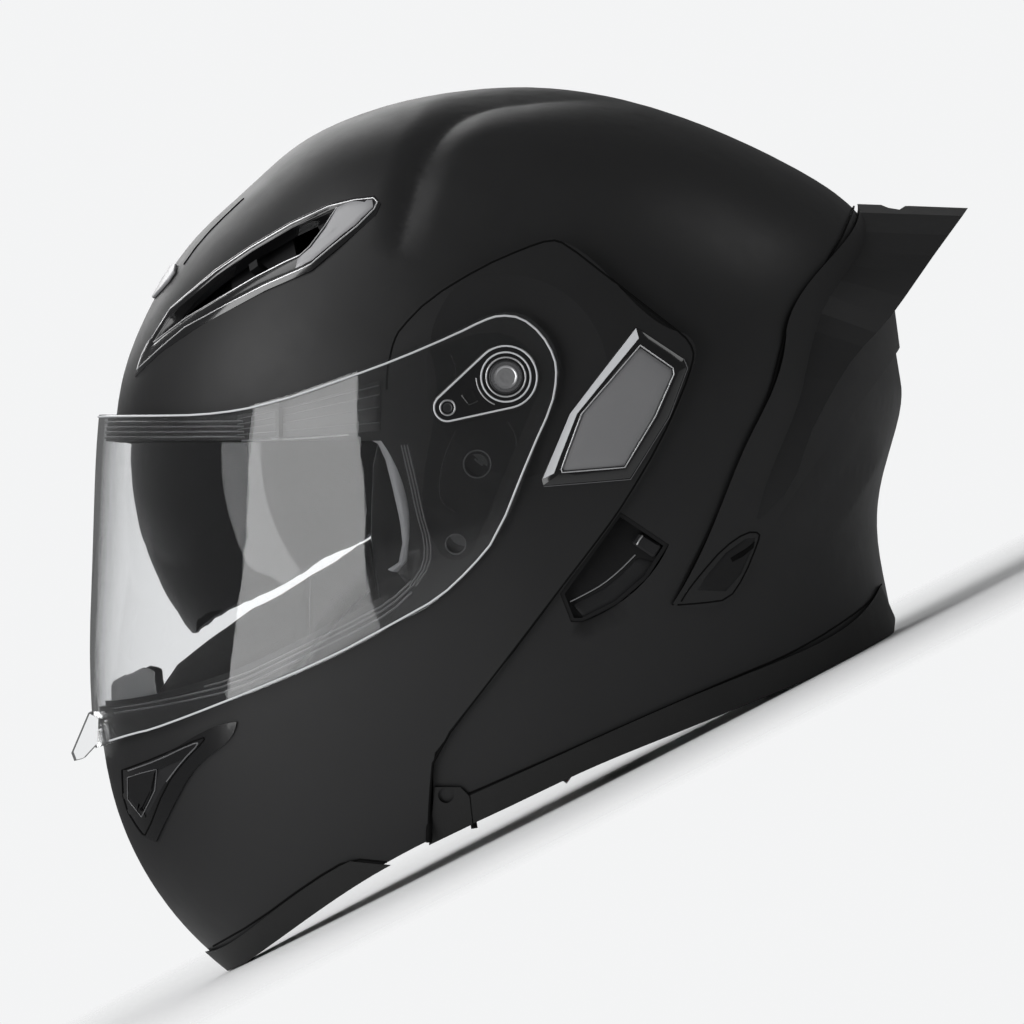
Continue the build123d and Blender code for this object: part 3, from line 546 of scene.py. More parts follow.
def copy_of(node_name, grow=0.0):
    """A merged copy of a CAD node's mesh, its faces moved out by grow millimetres."""
    mesh = nodes[node_name].data.copy()
    piece = add_object("copy", mesh)
    work = bmesh.new()
    work.from_mesh(mesh)
    bmesh.ops.remove_doubles(work, verts=work.verts, dist=0.02 * MM)
    if grow:
        work.normal_update()
        moves = [(vert, vert.normal * (grow * MM)) for vert in work.verts]
        for vert, move in moves:
            vert.co += move
    work.to_mesh(mesh)
    work.free()
    return piece


def mirrored(piece, name, body):
    """The same piece on the rider's right, which stands for no CAD node yet."""
    twin = piece.copy()
    twin.data = piece.data.copy()
    bpy.context.scene.collection.objects.link(twin)
    work = bmesh.new()
    work.from_mesh(twin.data)
    for vert in work.verts:
        vert.co.x = -vert.co.x
    bmesh.ops.reverse_faces(work, faces=work.faces)
    work.to_mesh(twin.data)
    work.free()
    twin.name = name
    twin.data.name = name
    if "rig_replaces" in twin:
        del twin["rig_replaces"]
    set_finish(twin, piece["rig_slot"])
    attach(twin, body)
    return twin


def pair(piece, name, body, node_name=None):
    """Names a piece made on the rider's left, adds its mirror image, and lets both stand for CAD nodes."""
    piece.name = name + "_left"
    piece.data.name = name + "_left"
    twin = mirrored(piece, name + "_right", body)
    if node_name:
        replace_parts(piece, node_name + "_left")
        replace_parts(twin, node_name + "_right")
    return piece, twin


def surface_of(*node_names):
    """The faces of some CAD nodes as one surface to lay trim on."""
    points, faces = [], []
    for node_name in node_names:
        mesh = nodes[node_name].data
        start = len(points)
        points += [vert.co.copy() for vert in mesh.vertices]
        faces += [[start + corner for corner in face.vertices] for face in mesh.polygons]
    return BVHTree.FromPolygons(points, faces)


def refined(loop, steps, closed=True):
    """A loop or line of spots with more of them between its corners."""
    finer = []
    for (x0, y0), (x1, y1) in zip(loop, loop[1:] + (loop[:1] if closed else [])):
        for step in range(steps):
            share = step / steps
            finer.append((x0 + (x1 - x0) * share, y0 + (y1 - y0) * share))
    return finer if closed else finer + [loop[-1]]


def lifted(hit, normal, lift):
    """A point on the rider's left, moved out of its surface."""
    if normal.x < 0:
        normal = -normal
    return hit + normal * (lift * MM)


def ray_from_left(surface, spot):
    """What a ray from the rider's left meets where the side view shows a spot."""
    hit, normal, _, _ = surface.ray_cast(place(*px(*spot), FAR_LEFT), -TO_LEFT)
    return hit, normal


def laid(surface, line, lift, steps):
    """Points on the rider's left of a surface, under a line of spots in the side view."""
    points = []
    for spot in refined(line, steps, False):
        hit, normal = ray_from_left(surface, spot)
        if hit is not None:
            points.append(lifted(hit, normal, lift))
    return points


def on_surface(surface, spot, lift):
    """The point of a surface that the side view shows at a spot, or the nearest, moved out."""
    hit, normal = ray_from_left(surface, spot)
    if hit is None:
        hit, normal, _, _ = surface.find_nearest(place(*px(*spot), 100))
    return lifted(hit, normal, lift)


def front_spot(surface, up, out, lift=0.0):
    """The point on the front of a surface at a height and a distance from the middle, moved out."""
    hit, normal, _, _ = surface.ray_cast(place(FAR_FRONT, up, out), TO_REAR)
    if hit is None:
        return None
    if normal.dot(TO_REAR) > 0:
        normal = -normal
    return hit + normal * (lift * MM)


def across_front(surface, up, from_x, to_x, lift, steps=72):
    """Points on the front of a surface at one height, from the rider's right to the left."""
    outs = [from_x + (to_x - from_x) * step / steps for step in range(steps + 1)]
    points = [front_spot(surface, up, out, lift) for out in outs]
    return [point for point in points if point is not None]


def bead(name, runs, radius, body, material, slot, closed=False):
    """A thin round bead along runs of points."""
    data = bpy.data.curves.new(name, "CURVE")
    data.dimensions = "3D"
    data.bevel_depth = radius * MM
    data.bevel_resolution = 2
    data.use_fill_caps = True
    for points in runs:
        spline = data.splines.new("POLY")
        spline.points.add(len(points) - 1)
        for point, spot in zip(spline.points, points):
            point.co = (*spot, 1.0)
        spline.use_cyclic_u = closed
    select_only(add_object(name, data))
    bpy.ops.object.convert(target="MESH")
    return finish_piece(bpy.context.object, name, body, material, slot, 60)


def rounded(points, times=2):
    """A line of spots with its corners cut."""
    for _ in range(times):
        softer = [points[0]]
        for (x0, y0), (x1, y1) in zip(points, points[1:]):
            softer += [(x0 * 0.75 + x1 * 0.25, y0 * 0.75 + y1 * 0.25),
                       (x0 * 0.25 + x1 * 0.75, y0 * 0.25 + y1 * 0.75)]
        softer.append(points[-1])
        points = softer
    return points


def both_sides(runs):
    return runs + [[Vector((-p.x, p.y, p.z)) for p in run] for run in runs]


# Creased shell

def distance_to_line(spot, line):
    """Distance to a line of spots, and how far along it, from 0 to 1, the nearest one lies."""
    best, along = 1e9, 0.0
    for index, (first, second) in enumerate(zip(line, line[1:])):
        run = second - first
        share = max(0.0, min(1.0, (spot - first).dot(run) / run.length_squared))
        gap = (spot - (first + run * share)).length
        if gap < best:
            best, along = gap, (index + share) / (len(line) - 1)
    return best, along


def side_spot(point):
    """Where the side view shows a point, in millimetres from the ear pivot."""
    offset = (point - PIVOT) / MM
    return Vector((offset.dot(TO_REAR), offset.dot(TO_CROWN)))


def crease(piece, lines, centre):
    """Presses soft valleys, or raises ridges, along lines on the outer faces."""
    # Edges are cut until they are as short, in millimetres
    edge_limits = (12.0, 7.0, 4.0)
    # Nothing moves near the middle plane, and the move grows beside that band, in millimetres
    middle_band, middle_fade = 4, 34
    # The share of a line over which it fades in and out, and the least outward turn of a point
    end_fade, outward = 0.25, 0.3
    work = bmesh.new()
    work.from_mesh(piece.data)
    prepared = [([Vector(px(*spot)) for spot in line], depth, width) for line, depth, width in lines]
    for limit in edge_limits:
        cut = []
        for edge in work.edges:
            if edge.calc_length() / MM < limit:
                continue
            spot = side_spot((edge.verts[0].co + edge.verts[1].co) / 2)
            reach = edge.calc_length() / MM / 2
            if any(distance_to_line(spot, line)[0] < width + reach for line, _, width in prepared):
                cut.append(edge)
        bmesh.ops.subdivide_edges(work, edges=cut, cuts=1)
        bmesh.ops.triangulate(work, faces=[face for face in work.faces if len(face.verts) > 3])
    work.normal_update()
    moves = []
    for vert in work.verts:
        if abs(vert.co.x) < middle_band * MM:
            continue
        if vert.normal.dot((vert.co - centre).normalized()) < outward:
            continue
        spot = side_spot(vert.co)
        move = 0.0
        for line, depth, width in prepared:
            gap, along = distance_to_line(spot, line)
            if gap < width:
                fade = min(1.0, along / end_fade, (1 - along) / end_fade)
                move += depth * fade * (1 - gap / width) ** 1.6
        if move:
            aside = min(1.0, (abs(vert.co.x) / MM - middle_band) / middle_fade)
            moves.append((vert, vert.normal * (-move * aside * aside * (3 - 2 * aside) * MM)))
    for vert, move in moves:
        vert.co += move
    work.to_mesh(piece.data)
    work.free()


CROWN_GROOVE_PX = [(398, 262), (407, 220), (418, 176), (436, 138), (462, 114), (500, 101), (560, 97),
                   (640, 101)]
REAR_RIDGE_PX = [(892, 430), (854, 494), (806, 560)]
REAR_VALLEY_PX = [(815, 430), (767, 526)]


def make_creased_shell():
    """The shell with the grooves along its crown and the soft ridge and valley at its rear."""
    shell = copy_of("outer_shell")
    lines = [(rounded(CROWN_GROOVE_PX), 3.4, 12.0), (REAR_RIDGE_PX, -1.6, 10.0), (REAR_VALLEY_PX, 1.4, 12.0)]
    crease(shell, lines, place(20, -20))
    finish_piece(shell, "shell_with_creases", "helmet", SHELL, "shell_plastic", 30)
    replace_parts(shell, "outer_shell")


make_creased_shell()

# Visor trim

VISOR_REAR_PX = [
    (300, 395), (349, 378), (398, 360), (454, 336), (482, 322), (502, 317), (523, 319), (543, 335),
    (556, 358), (558, 378), (553, 406), (533, 455), (495, 539), (469, 570), (439, 598), (400, 620),
    (328, 659), (240, 696), (190, 716), (152, 730), (137, 733.5), (122, 738), (110, 742),
]
VISOR_TOP_PX = [(112, 417), (160, 417), (205, 416.5), (245, 412), (275, 405)]


def make_visor_edge():
    """A pale bead along the rim of the clear visor sheet: painted highlight where the polished edge catches
    the light.
    """
    surface = surface_of("visor")
    lift = 0.15
    inward = [(x + (2.2 if x < 500 else -2.2), y + (2.5 if y < 450 else -2.5)) for x, y in VISOR_REAR_PX]
    side = laid(surface, rounded(VISOR_TOP_PX + inward, 1), lift, 4)
    reach = side[0].x / MM
    front = across_front(surface, side_spot(side[0]).y, -reach, reach, lift)
    other = [Vector((-p.x, p.y, p.z)) for p in reversed(side)]
    bead("visor_rim_highlight", [other + front[1:-1] + side], 0.42, "face_visor", PAINTED_EDGE_HIGHLIGHT, "clear_plastic")


def make_brow_lips():
    """Thin lips along the seal over the eye port, their grey painted highlight."""
    surface = surface_of("brow_seal")
    runs = [across_front(surface, px(0, y)[1], -104, 104, 0.1) for y in (423, 428, 433, 438)]
    bead("brow_seal_lips", runs, 0.45, "helmet", LIP_HIGHLIGHT, "seal_rubber")


# Plates, frames and lines that lie on a surface

def between(first, second, share):
    return [(x + (i - x) * share, y + (j - y) * share) for (x, y), (i, j) in zip(first, second)]


def towards(loop, centre, share):
    return [(x + (centre[0] - x) * share, y + (centre[1] - y) * share) for x, y in loop]


def middle_of(loop):
    return (sum(x for x, _ in loop) / len(loop), sum(y for _, y in loop) / len(loop))


def plate(name, surface, rows, body, material, slot, thick, bevel, filled=False, steps=4, closed=True):
    """A plate laid on a surface: rows of (loop of spots, lift), from its outer edge inwards."""
    rows = [(refined(loop, steps, closed), lift) for loop, lift in rows]
    if filled:
        last, lift = rows[-1]
        centre = middle_of(last)
        rows += [(towards(last, centre, share), lift) for share in (0.25, 0.5, 0.75)]
    points = [[on_surface(surface, spot, lift) for spot in loop] for loop, lift in rows]
    count = len(points[0])
    verts = [point for loop in points for point in loop]
    faces = []
    for row in range(len(points) - 1):
        for index in range(count if closed else count - 1):
            after = (index + 1) % count
            faces.append((row * count + index, row * count + after, (row + 1) * count + after,
                          (row + 1) * count + index))
    if filled:
        verts.append(on_surface(surface, centre, rows[-1][1]))
        start = (len(points) - 1) * count
        faces += [(start + index, start + (index + 1) % count, len(verts) - 1) for index in range(count)]
    mesh = new_mesh(name, verts, faces)
    work = bmesh.new()
    work.from_mesh(mesh)
    bmesh.ops.remove_doubles(work, verts=work.verts, dist=0.01 * MM)
    work.normal_update()
    if sum(face.normal.x for face in work.faces) < 0:
        bmesh.ops.reverse_faces(work, faces=work.faces)
    work.to_mesh(mesh)
    work.free()
    piece = add_object(name, mesh)
    give_wall(piece, thick, -1, bevel, angle=45)
    return finish_piece(piece, name, body, material, slot, 40)


def line_on(name, surface, lines, radius, body, material, slot, lift, steps, soft):
    """Thin beads along lines of spots, their corners cut soft times, on both sides."""
    runs = [laid(surface, rounded(line, soft), lift, steps) for line in lines]
    return bead(name, both_sides([run for run in runs if len(run) > 1]), radius, body, material, slot)


def ring_at(name, spot, out, radius, thickness, body, material, slot):
    """A round bead about X, at a distance from the middle plane."""
    bpy.ops.object.select_all(action="DESELECT")
    bpy.ops.mesh.primitive_torus_add(
        major_segments=48, minor_segments=10, major_radius=radius * MM, minor_radius=thickness * MM,
        location=place(*px(*spot), out), rotation=(0, math.radians(90), 0),
    )
    return finish_piece(bpy.context.object, name, body, material, slot, 60)


def screw_at(name, spot, out, radius, height, body, material, slot, slots):
    """A screw head: a disc with a rounded rim, a dish and a star socket."""
    rim_share, round_share, dish_share, dish_depth_share = 0.16, 0.06, 0.1, 0.25
    socket_depth_share, socket_length_share, socket_width_share = 1.1, 0.95, 0.28
    bpy.ops.object.select_all(action="DESELECT")
    bpy.ops.mesh.primitive_cylinder_add(
        vertices=48, radius=radius * MM, depth=height * MM,
        location=place(*px(*spot), out + height / 2), rotation=(0, math.radians(90), 0),
    )
    head = bpy.context.object
    bpy.ops.object.transform_apply(location=True, rotation=True, scale=True)
    bpy.ops.object.mode_set(mode="EDIT")
    work = bmesh.from_edit_mesh(head.data)
    for face in work.faces:
        face.select_set(face.normal.x > 0.9)
    bmesh.update_edit_mesh(head.data)
    bpy.ops.mesh.inset(thickness=radius * rim_share * MM)
    bpy.ops.mesh.bevel(offset=radius * round_share * MM, segments=2)
    bpy.ops.mesh.inset(thickness=radius * dish_share * MM)
    bpy.ops.transform.translate(value=(-height * dish_depth_share * MM, 0, 0))
    bpy.ops.object.mode_set(mode="OBJECT")
    for turn in range(slots):
        bpy.ops.mesh.primitive_cube_add(
            size=1, location=place(*px(*spot), out + height),
            rotation=(math.radians(-LEAN_DEG + turn * 180 / slots), 0, 0),
        )
        cutter = bpy.context.object
        cutter.scale = (height * socket_depth_share * MM, radius * socket_length_share * MM,
                        radius * socket_width_share * MM)
        cut = head.modifiers.new("socket", "BOOLEAN")
        cut.operation = "DIFFERENCE"
        cut.object = cutter
        apply_modifiers(head)
        bpy.data.objects.remove(cutter)
    return finish_piece(head, name, body, material, slot, 35)


# Painted shade lines in the gaps between the shells

ARM_EDGE_PX = [
    (389.5, 392), (390, 376), (392.5, 359.5), (396, 345), (402, 333), (431, 303), (482, 272), (523, 254),
    (550, 245), (564, 249), (610, 285), (680, 338), (690, 353), (689, 366), (680, 393), (657, 444),
    (624, 500), (601, 533), (558, 589), (499, 667), (435, 749), (431, 790), (429, 834),
]
CHIN_RIM_PX = [(214, 945), (256, 920), (312, 878), (352, 854), (390, 858)]
NECK_RIM_PX = [(470, 789), (500, 776), (722, 678), (792, 650), (863, 606), (880, 584)]
SPOILER_PX = [(856, 200), (831, 254), (793, 301), (781, 333), (764, 400), (744, 440), (710, 522), (669, 603)]


def make_gap_shade_lines():
    bar = surface_of("chin_bar")
    shell = surface_of("outer_shell")
    for name, surface, line, radius, body, lift, steps, soft in (
            ("arm_edge_gap", bar, ARM_EDGE_PX, 0.55, "chin_section", -0.35, 5, 1),
            ("chin_rim_gap", bar, CHIN_RIM_PX, 0.42, "chin_section", -0.05, 6, 1),
            ("neck_rim_gap", shell, NECK_RIM_PX, 0.42, "helmet", -0.1, 8, 2),
            ("spoiler_gap", shell, SPOILER_PX, 0.36, "helmet", 0.9, 5, 1)):
        # These beads are painted shade in the gaps round the chin bar's arm, the rims and the spoiler.
        line_on(name, surface, [line], radius, body, PAINTED_GAP_SHADE, "black_plastic", lift, steps, soft)


LIP_INNER_PX = [(350, 441), (364, 441), (376, 447), (384, 463), (392, 495), (399, 527), (401, 547),
                (397, 566), (386, 573)]
LIP_OUTER_PX = [(350, 435), (368, 435), (386, 437), (393, 447), (402, 480), (409, 513), (411, 540),
                (408, 562), (396, 576)]
PORT_EDGE_PX = [(350, 430), (374, 428), (396, 430), (408, 440), (418, 474), (424, 508), (427, 540),
                (424, 566), (408, 592)]
BROW_LIP_PX = [(130, 444), (200, 443), (247, 442), (300, 440), (330, 438), (352, 436)]
SILL_PX = [(120, 701), (180, 688), (240, 672), (300, 643), (360, 613), (393, 595), (414, 575)]
SILL_DROP_SHARES = (0.7, 0.85, 1, 1, 1, 1, 1)
PORT_RIB_PX = [(404, 446), (412, 480), (419, 513), (427, 540), (426, 564), (412, 584)]


def make_port_seal():
    """The rubber seal along the rear edge of the eye port, with ribs drawn as grey lines of painted highlight
    and a pale rolled lip.
    """
    sheet = surface_of("visor")
    rows = [(PORT_EDGE_PX, -9.6), (LIP_OUTER_PX, -9.4), (LIP_INNER_PX, -9.8)]
    seal = plate("port_seal", sheet, rows, "helmet", SEAL, "seal_rubber", 1.2, 0.2, steps=3, closed=False)
    pair(seal, "port_seal", "helmet")
    rows = [
        (LIP_OUTER_PX, -9.3), (between(LIP_OUTER_PX, LIP_INNER_PX, 0.25), -8.45),
        (between(LIP_OUTER_PX, LIP_INNER_PX, 0.7), -8.3), (LIP_INNER_PX, -9.2),
    ]
    lip = plate("port_seal_lip", sheet, rows, "helmet", PALE_LIP, "seal_rubber", 0.8, 0.15, steps=3,
                closed=False)
    pair(lip, "port_seal_lip", "helmet")
    shell = surface_of("outer_shell", "brow_seal")
    line_on("brow_lower_lip", shell, [BROW_LIP_PX], 0.36, "helmet", PALE_LIP, "seal_rubber", 0.0, 6, 1)
    bar = surface_of("chin_bar")
    lines = []
    for drop in (4, 9, 15):
        lines.append([(x, y + drop * share) for (x, y), share in zip(SILL_PX, SILL_DROP_SHARES)])
    for step in (0, 3, 6):
        lines.append([(x + step, y) for x, y in PORT_RIB_PX])
    line_on("lower_port_lips", bar, lines, 0.42, "chin_section", LIP_HIGHLIGHT, "seal_rubber", 0.0, 8, 1)


def make_brow_sides():
    """The seal's thin wings along the lower edge of the brow, with their lips as grey lines of painted
    highlight.
    """
    shell = surface_of("outer_shell", "brow_seal")
    upper = [(244, 417), (288, 410), (330, 399), (384, 383)]
    lower = [(244, 439), (288, 438), (330, 436), (384, 432)]
    rows = [(upper, 0.3), (between(upper, lower, 0.5), 0.3), (lower, 0.3)]
    wing = plate("brow_seal_wing", shell, rows, "helmet", SEAL, "seal_rubber", 0.4, 0.1, steps=8,
                 closed=False)
    pair(wing, "brow_seal_wing", "helmet")
    lines = []
    for near, far in ((421, 388), (426, 397), (431, 409), (436, 424)):
        inner, outer = near * 0.72 + far * 0.28, near * 0.4 + far * 0.6
        lines.append([(244, near), (288, inner), (330, outer), (382, far)])
    line_on("brow_edge_lines", shell, lines, 0.26, "helmet", LIP_HIGHLIGHT, "seal_rubber", 0.18, 8, 1)


# Ear pivots

def arc_px(centre, radius, first_deg, last_deg, steps):
    """Spots along an arc in the side view, turning towards the front from straight back."""
    spots = []
    for step in range(steps + 1):
        turn = math.radians(first_deg + (last_deg - first_deg) * step / steps)
        spots.append((centre[0] + radius * math.cos(turn), centre[1] - radius * math.sin(turn)))
    return spots


EAR_PX = (449, 410)
WEB_PX = [(462, 398), (474, 391), (479, 404), (470, 408)]


def make_hub_trim():
    """Rims and rings on the visor's round hubs, pale and bright as painted highlight on their rounded edges,
    and the screw in their middle.
    """
    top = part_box("visor_hub_left")[1][0] / MM
    span = Vector((PIVOT_PX[0] - EAR_PX[0], EAR_PX[1] - PIVOT_PX[1]))
    heading = math.degrees(math.atan2(span.y, span.x))
    outline = arc_px(PIVOT_PX, 30.4, heading - 104, heading + 104, 24)
    outline += arc_px(EAR_PX, 13.2, heading + 104, heading + 256, 24)
    for side_name, sign in SIDES.items():
        run = [place(*px(*spot), top + 0.05) for spot in outline]
        run = [Vector((sign * point.x, point.y, point.z)) for point in run]
        # The pale outline bead is painted highlight on the hub's rounded rim.
        bead("hub_outline_" + side_name, [run], 0.36, "face_visor", PAINTED_EDGE_HIGHLIGHT, "satin_metal", closed=True)
    for label, spot, radius, thickness, lift, material in (
            ("hub_outer_ring", PIVOT_PX, 9.7, 0.36, 0.0, PAINTED_EDGE_HIGHLIGHT),
            ("hub_middle_ring", PIVOT_PX, 7.7, 0.34, 0.0, CHROME_AND_HIGHLIGHT),
            ("hub_inner_ring", PIVOT_PX, 6.3, 0.24, 0.05, DARK_STEEL),
            ("hub_ear_ring", EAR_PX, 2.9, 0.4, 0.0, SATIN)):
        ring = ring_at(label, spot, top + lift, radius, thickness, "face_visor", material, "satin_metal")
        pair(ring, label, "face_visor")
    dot = screw_at("hub_ear_screw", EAR_PX, top, 1.9, 0.5, "face_visor", DARK_STEEL, "steel", 2)
    pair(dot, "hub_ear_screw", "face_visor")
    cap_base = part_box("pivot_cap_left")[0][0] / MM
    head = screw_at("pivot_screw", PIVOT_PX, cap_base, 4.6, 1.1, "helmet", SATIN, "steel", 3)
    pair(head, "pivot_screw", "helmet", "pivot_cap")
    rows = [(WEB_PX, 0.18), (towards(WEB_PX, middle_of(WEB_PX), 0.3), 0.32)]
    web = plate("hub_web", surface_of("visor_hub_left"), rows, "face_visor", GLOSS, "gloss_black", 0.3, 0.08)
    pair(web, "hub_web", "face_visor")
    # The satin bead on the hub's step is painted highlight on that edge.
    step_edge = [place(*px(*spot), top + 0.02) for spot in arc_px(PIVOT_PX, 29, 182, 248, 12)]
    bead("hub_step", both_sides([step_edge]), 0.26, "face_visor", SATIN, "satin_metal")


BASE_PAD_PX = [(457, 432), (447, 455), (442, 474), (441, 495), (446, 505), (456, 511)]
BASE_RIB_FRONT_PX = [(452, 358), (458, 372), (456, 380)]
BASE_RIB_REAR_PX = [(508, 424), (516, 436), (516, 448)]


def make_base_details():
    """Socket heads, the rings round them as grey lines of painted highlight, and the ribs of the plates under
    the visor.
    """
    seats = surface_of("base_plate_left", "base_screws_left")
    rings = []
    for spot_name, spot, radius in (("upper", (478, 465), 4.9), ("lower", (457, 543), 3.6)):
        label = "plate_screw_" + spot_name
        seat = on_surface(seats, spot, 0).x / MM
        head = screw_at(label, spot, seat - 0.1, radius, 0.34, "chin_section", PLATE, "dark_plastic", 3)
        pair(head, label, "chin_section")
        reach = radius * 2.75
        turns = [math.radians(turn) for turn in range(0, 361, 15)]
        rings.append([(spot[0] + reach * math.cos(turn), spot[1] + reach * math.sin(turn)) for turn in turns])
    line_on("plate_ring_lines", seats, rings, 0.2, "chin_section", LIP_HIGHLIGHT, "dark_plastic", 0.1, 1, 0)
    ribs = [BASE_PAD_PX, BASE_RIB_FRONT_PX, BASE_RIB_REAR_PX]
    line_on("plate_rib_lines", surface_of("base_plate_left"), ribs, 0.2, "chin_section", DARK, "dark_plastic",
            0.05, 4, 1)


# Side inserts

INSERT_OUTER_PX = [(633, 331), (680, 362), (684, 371), (666, 419), (628, 480), (543, 487), (541, 480),
                   (568, 416)]
INSERT_INNER_PX = [(637, 349), (669, 371), (670, 377), (652, 418), (622, 468), (561, 473), (560, 470),
                   (580, 416)]
INSERT_MIDDLE_PX = (617, 415)


def make_side_inserts():
    """A bevelled glossy frame round a satin panel; its edges and the front side of its bevel are pale as
    painted highlight.
    """
    surface = surface_of("chin_bar")
    ridge = between(INSERT_OUTER_PX, INSERT_INNER_PX, 0.62)
    inside = towards(INSERT_INNER_PX, INSERT_MIDDLE_PX, 0.03)
    rows = [(INSERT_OUTER_PX, 0.35), (ridge, 1.75), (INSERT_INNER_PX, 1.6), (inside, 0.7)]
    rim = plate("insert_frame", surface, rows, "chin_section", GLOSS, "satin_metal", 0.3, 0.1)
    pair(rim, "insert_frame", "chin_section", "side_insert_frame")
    outline = towards(INSERT_INNER_PX, INSERT_MIDDLE_PX, 0.02)
    rows = [(outline, 0.75), (towards(outline, INSERT_MIDDLE_PX, 0.07), 1.1)]
    panel = plate("insert_panel", surface, rows, "chin_section", GREY, "grey_plastic", 0.4, 0.1, True)
    pair(panel, "insert_panel", "chin_section", "side_insert")
    for name, line, radius, material, lift in (
            ("insert_inner_edge", INSERT_INNER_PX + INSERT_INNER_PX[:1], 0.26, CHROME_AND_HIGHLIGHT, 1.6),
            ("insert_outer_edge", INSERT_OUTER_PX[1:6], 0.2, LIP_HIGHLIGHT, 0.45)):
        line_on(name, surface, [line], radius, "chin_section", material, "satin_metal", lift, 4, 0)
    # A pale strip on the front side of the bevel: painted highlight where it faces the light.
    outer = between(INSERT_OUTER_PX, INSERT_INNER_PX, 0.06)
    rows = [(outer[6:] + outer[:1], 0.62), (ridge[6:] + ridge[:1], 1.86)]
    bevel = plate("insert_bevel_highlight", surface, rows, "chin_section", PAINTED_EDGE_HIGHLIGHT, "satin_metal", 0.12, 0,
                  closed=False)
    pair(bevel, "insert_bevel_highlight", "chin_section")


# Top vents

VENT_OUTER_PX = [
    (138, 378), (147, 351), (156, 337), (174, 309), (219, 272), (254, 249), (294, 226), (331, 209),
    (357, 203), (377, 201), (383, 209), (378, 221), (345, 250), (315, 275), (270, 294), (202, 330),
    (165, 354),
]
VENT_INNER_PX = [
    (157, 345), (158, 342), (160, 339), (177, 314), (221, 279), (256, 255), (296, 232), (331, 216),
    (338, 214), (340, 214), (338, 217), (328, 232), (313, 252), (304, 260), (260, 281), (200, 315),
    (170, 335),
]
VENT_BRIGHT_PX = [
    (156, 340), (174, 312), (220, 275.5), (255, 252), (295, 229), (332, 212), (357, 206), (376, 204),
    (380, 208), (377, 215), (360, 232), (335, 252), (315, 269), (305, 274), (270, 289), (230, 309),
    (190, 330), (165, 350), (141, 371), (146, 356), (152, 344),
]
VENT_MOUTH_PX = [
    (340, 213), (328, 232), (313, 252), (304, 260), (290, 266), (260, 281), (225, 301), (190, 321),
    (158, 344),
]
VENT_END_PX = [
    (341, 213), (356, 207), (375, 206), (376, 213), (358, 231), (335, 250), (316, 266), (300, 273),
    (302, 264), (314, 254), (329, 234),
]


def solved(rows):
    """The values that satisfy a square set of linear equations, each a row with its result last."""
    count = len(rows)
    for column in range(count):
        best = max(range(column, count), key=lambda row: abs(rows[row][column]))
        rows[column], rows[best] = rows[best], rows[column]
        for row in range(count):
            if row != column:
                share = rows[row][column] / rows[column][column]
                rows[row] = [value - share * other for value, other in zip(rows[row], rows[column])]
    return [rows[row][count] / rows[row][row] for row in range(count)]


def powers(spot):
    """Terms up to the third power of a spot near the top vents."""
    x, y = (spot[0] - 260) / 120, (spot[1] - 280) / 90
    return [1, x, y, x * x, x * y, y * y, x ** 3, x * x * y, x * y * y, y ** 3]


def bridged_surface(surface, loop):
    """A smooth surface over an opening in the shell, from the shell round the opening."""
    middle = middle_of(loop)
    samples = []
    for share in (-0.04, -0.12, -0.22, -0.34):
        for spot in refined(towards(loop, middle, share), 3):
            hit, _ = ray_from_left(surface, spot)
            if hit is not None and hit.x > 15 * MM:
                samples.append((powers(spot), (hit.x / MM) ** 2))
    rows = []
    for first in range(10):
        rows.append([sum(terms[first] * terms[second] for terms, _ in samples) for second in range(10)]
                    + [sum(terms[first] * value for terms, value in samples)])
    weights = solved(rows)
    points = []
    steps = 60
    left, right, top, low = 120, 400, 185, 395
    for row in range(steps + 1):
        for column in range(steps + 1):
            spot = (left + (right - left) * column / steps, top + (low - top) * row / steps)
            square = sum(weight * term for weight, term in zip(weights, powers(spot)))
            points.append(place(*px(*spot), math.sqrt(max(square, 1.0))))
    return BVHTree.FromPolygons(points, grid_faces(steps + 1, steps + 1))


def make_vent_frames():
    """Glossy frames with bright edges, partly painted highlight, a throat into the shell, and a pale grey end
    to the rear whose flat colour is painted reflection of a satin metal end.
    """
    surface = bridged_surface(surface_of("outer_shell"), VENT_OUTER_PX)
    inside = towards(VENT_INNER_PX, middle_of(VENT_INNER_PX), 0.03)
    rows = [
        (VENT_OUTER_PX, -0.6), (VENT_OUTER_PX, 0.3), (between(VENT_OUTER_PX, VENT_INNER_PX, 0.3), 0.95),
        (between(VENT_OUTER_PX, VENT_INNER_PX, 0.85), 0.75), (VENT_INNER_PX, 0.2), (inside, -4.5),
    ]
    rim = plate("vent_frame", surface, rows, "helmet", GLOSS, "gloss_black", 0.5, 0, steps=3)
    pair(rim, "vent_frame", "helmet", "top_vent_frame")
    line_on("vent_outer_edge", surface, [VENT_BRIGHT_PX + VENT_BRIGHT_PX[:1]], 0.3, "helmet", CHROME_AND_HIGHLIGHT,
            "satin_metal", 0.75, 4, 0)
    line_on("vent_inner_edge", surface, [VENT_MOUTH_PX], 0.26, "helmet", CHROME_AND_HIGHLIGHT, "satin_metal", 0.6, 4, 0)
    # The end cap is matte pale grey: painted reflection in the place of satin metal.
    rows = [(VENT_END_PX, 0.8), (towards(VENT_END_PX, middle_of(VENT_END_PX), 0.15), 1.15)]
    cap = plate("vent_end_cap", surface, rows, "helmet", PALE_LIP, "satin_metal", 0.4, 0.1, True, 3)
    pair(cap, "vent_end_cap", "helmet")


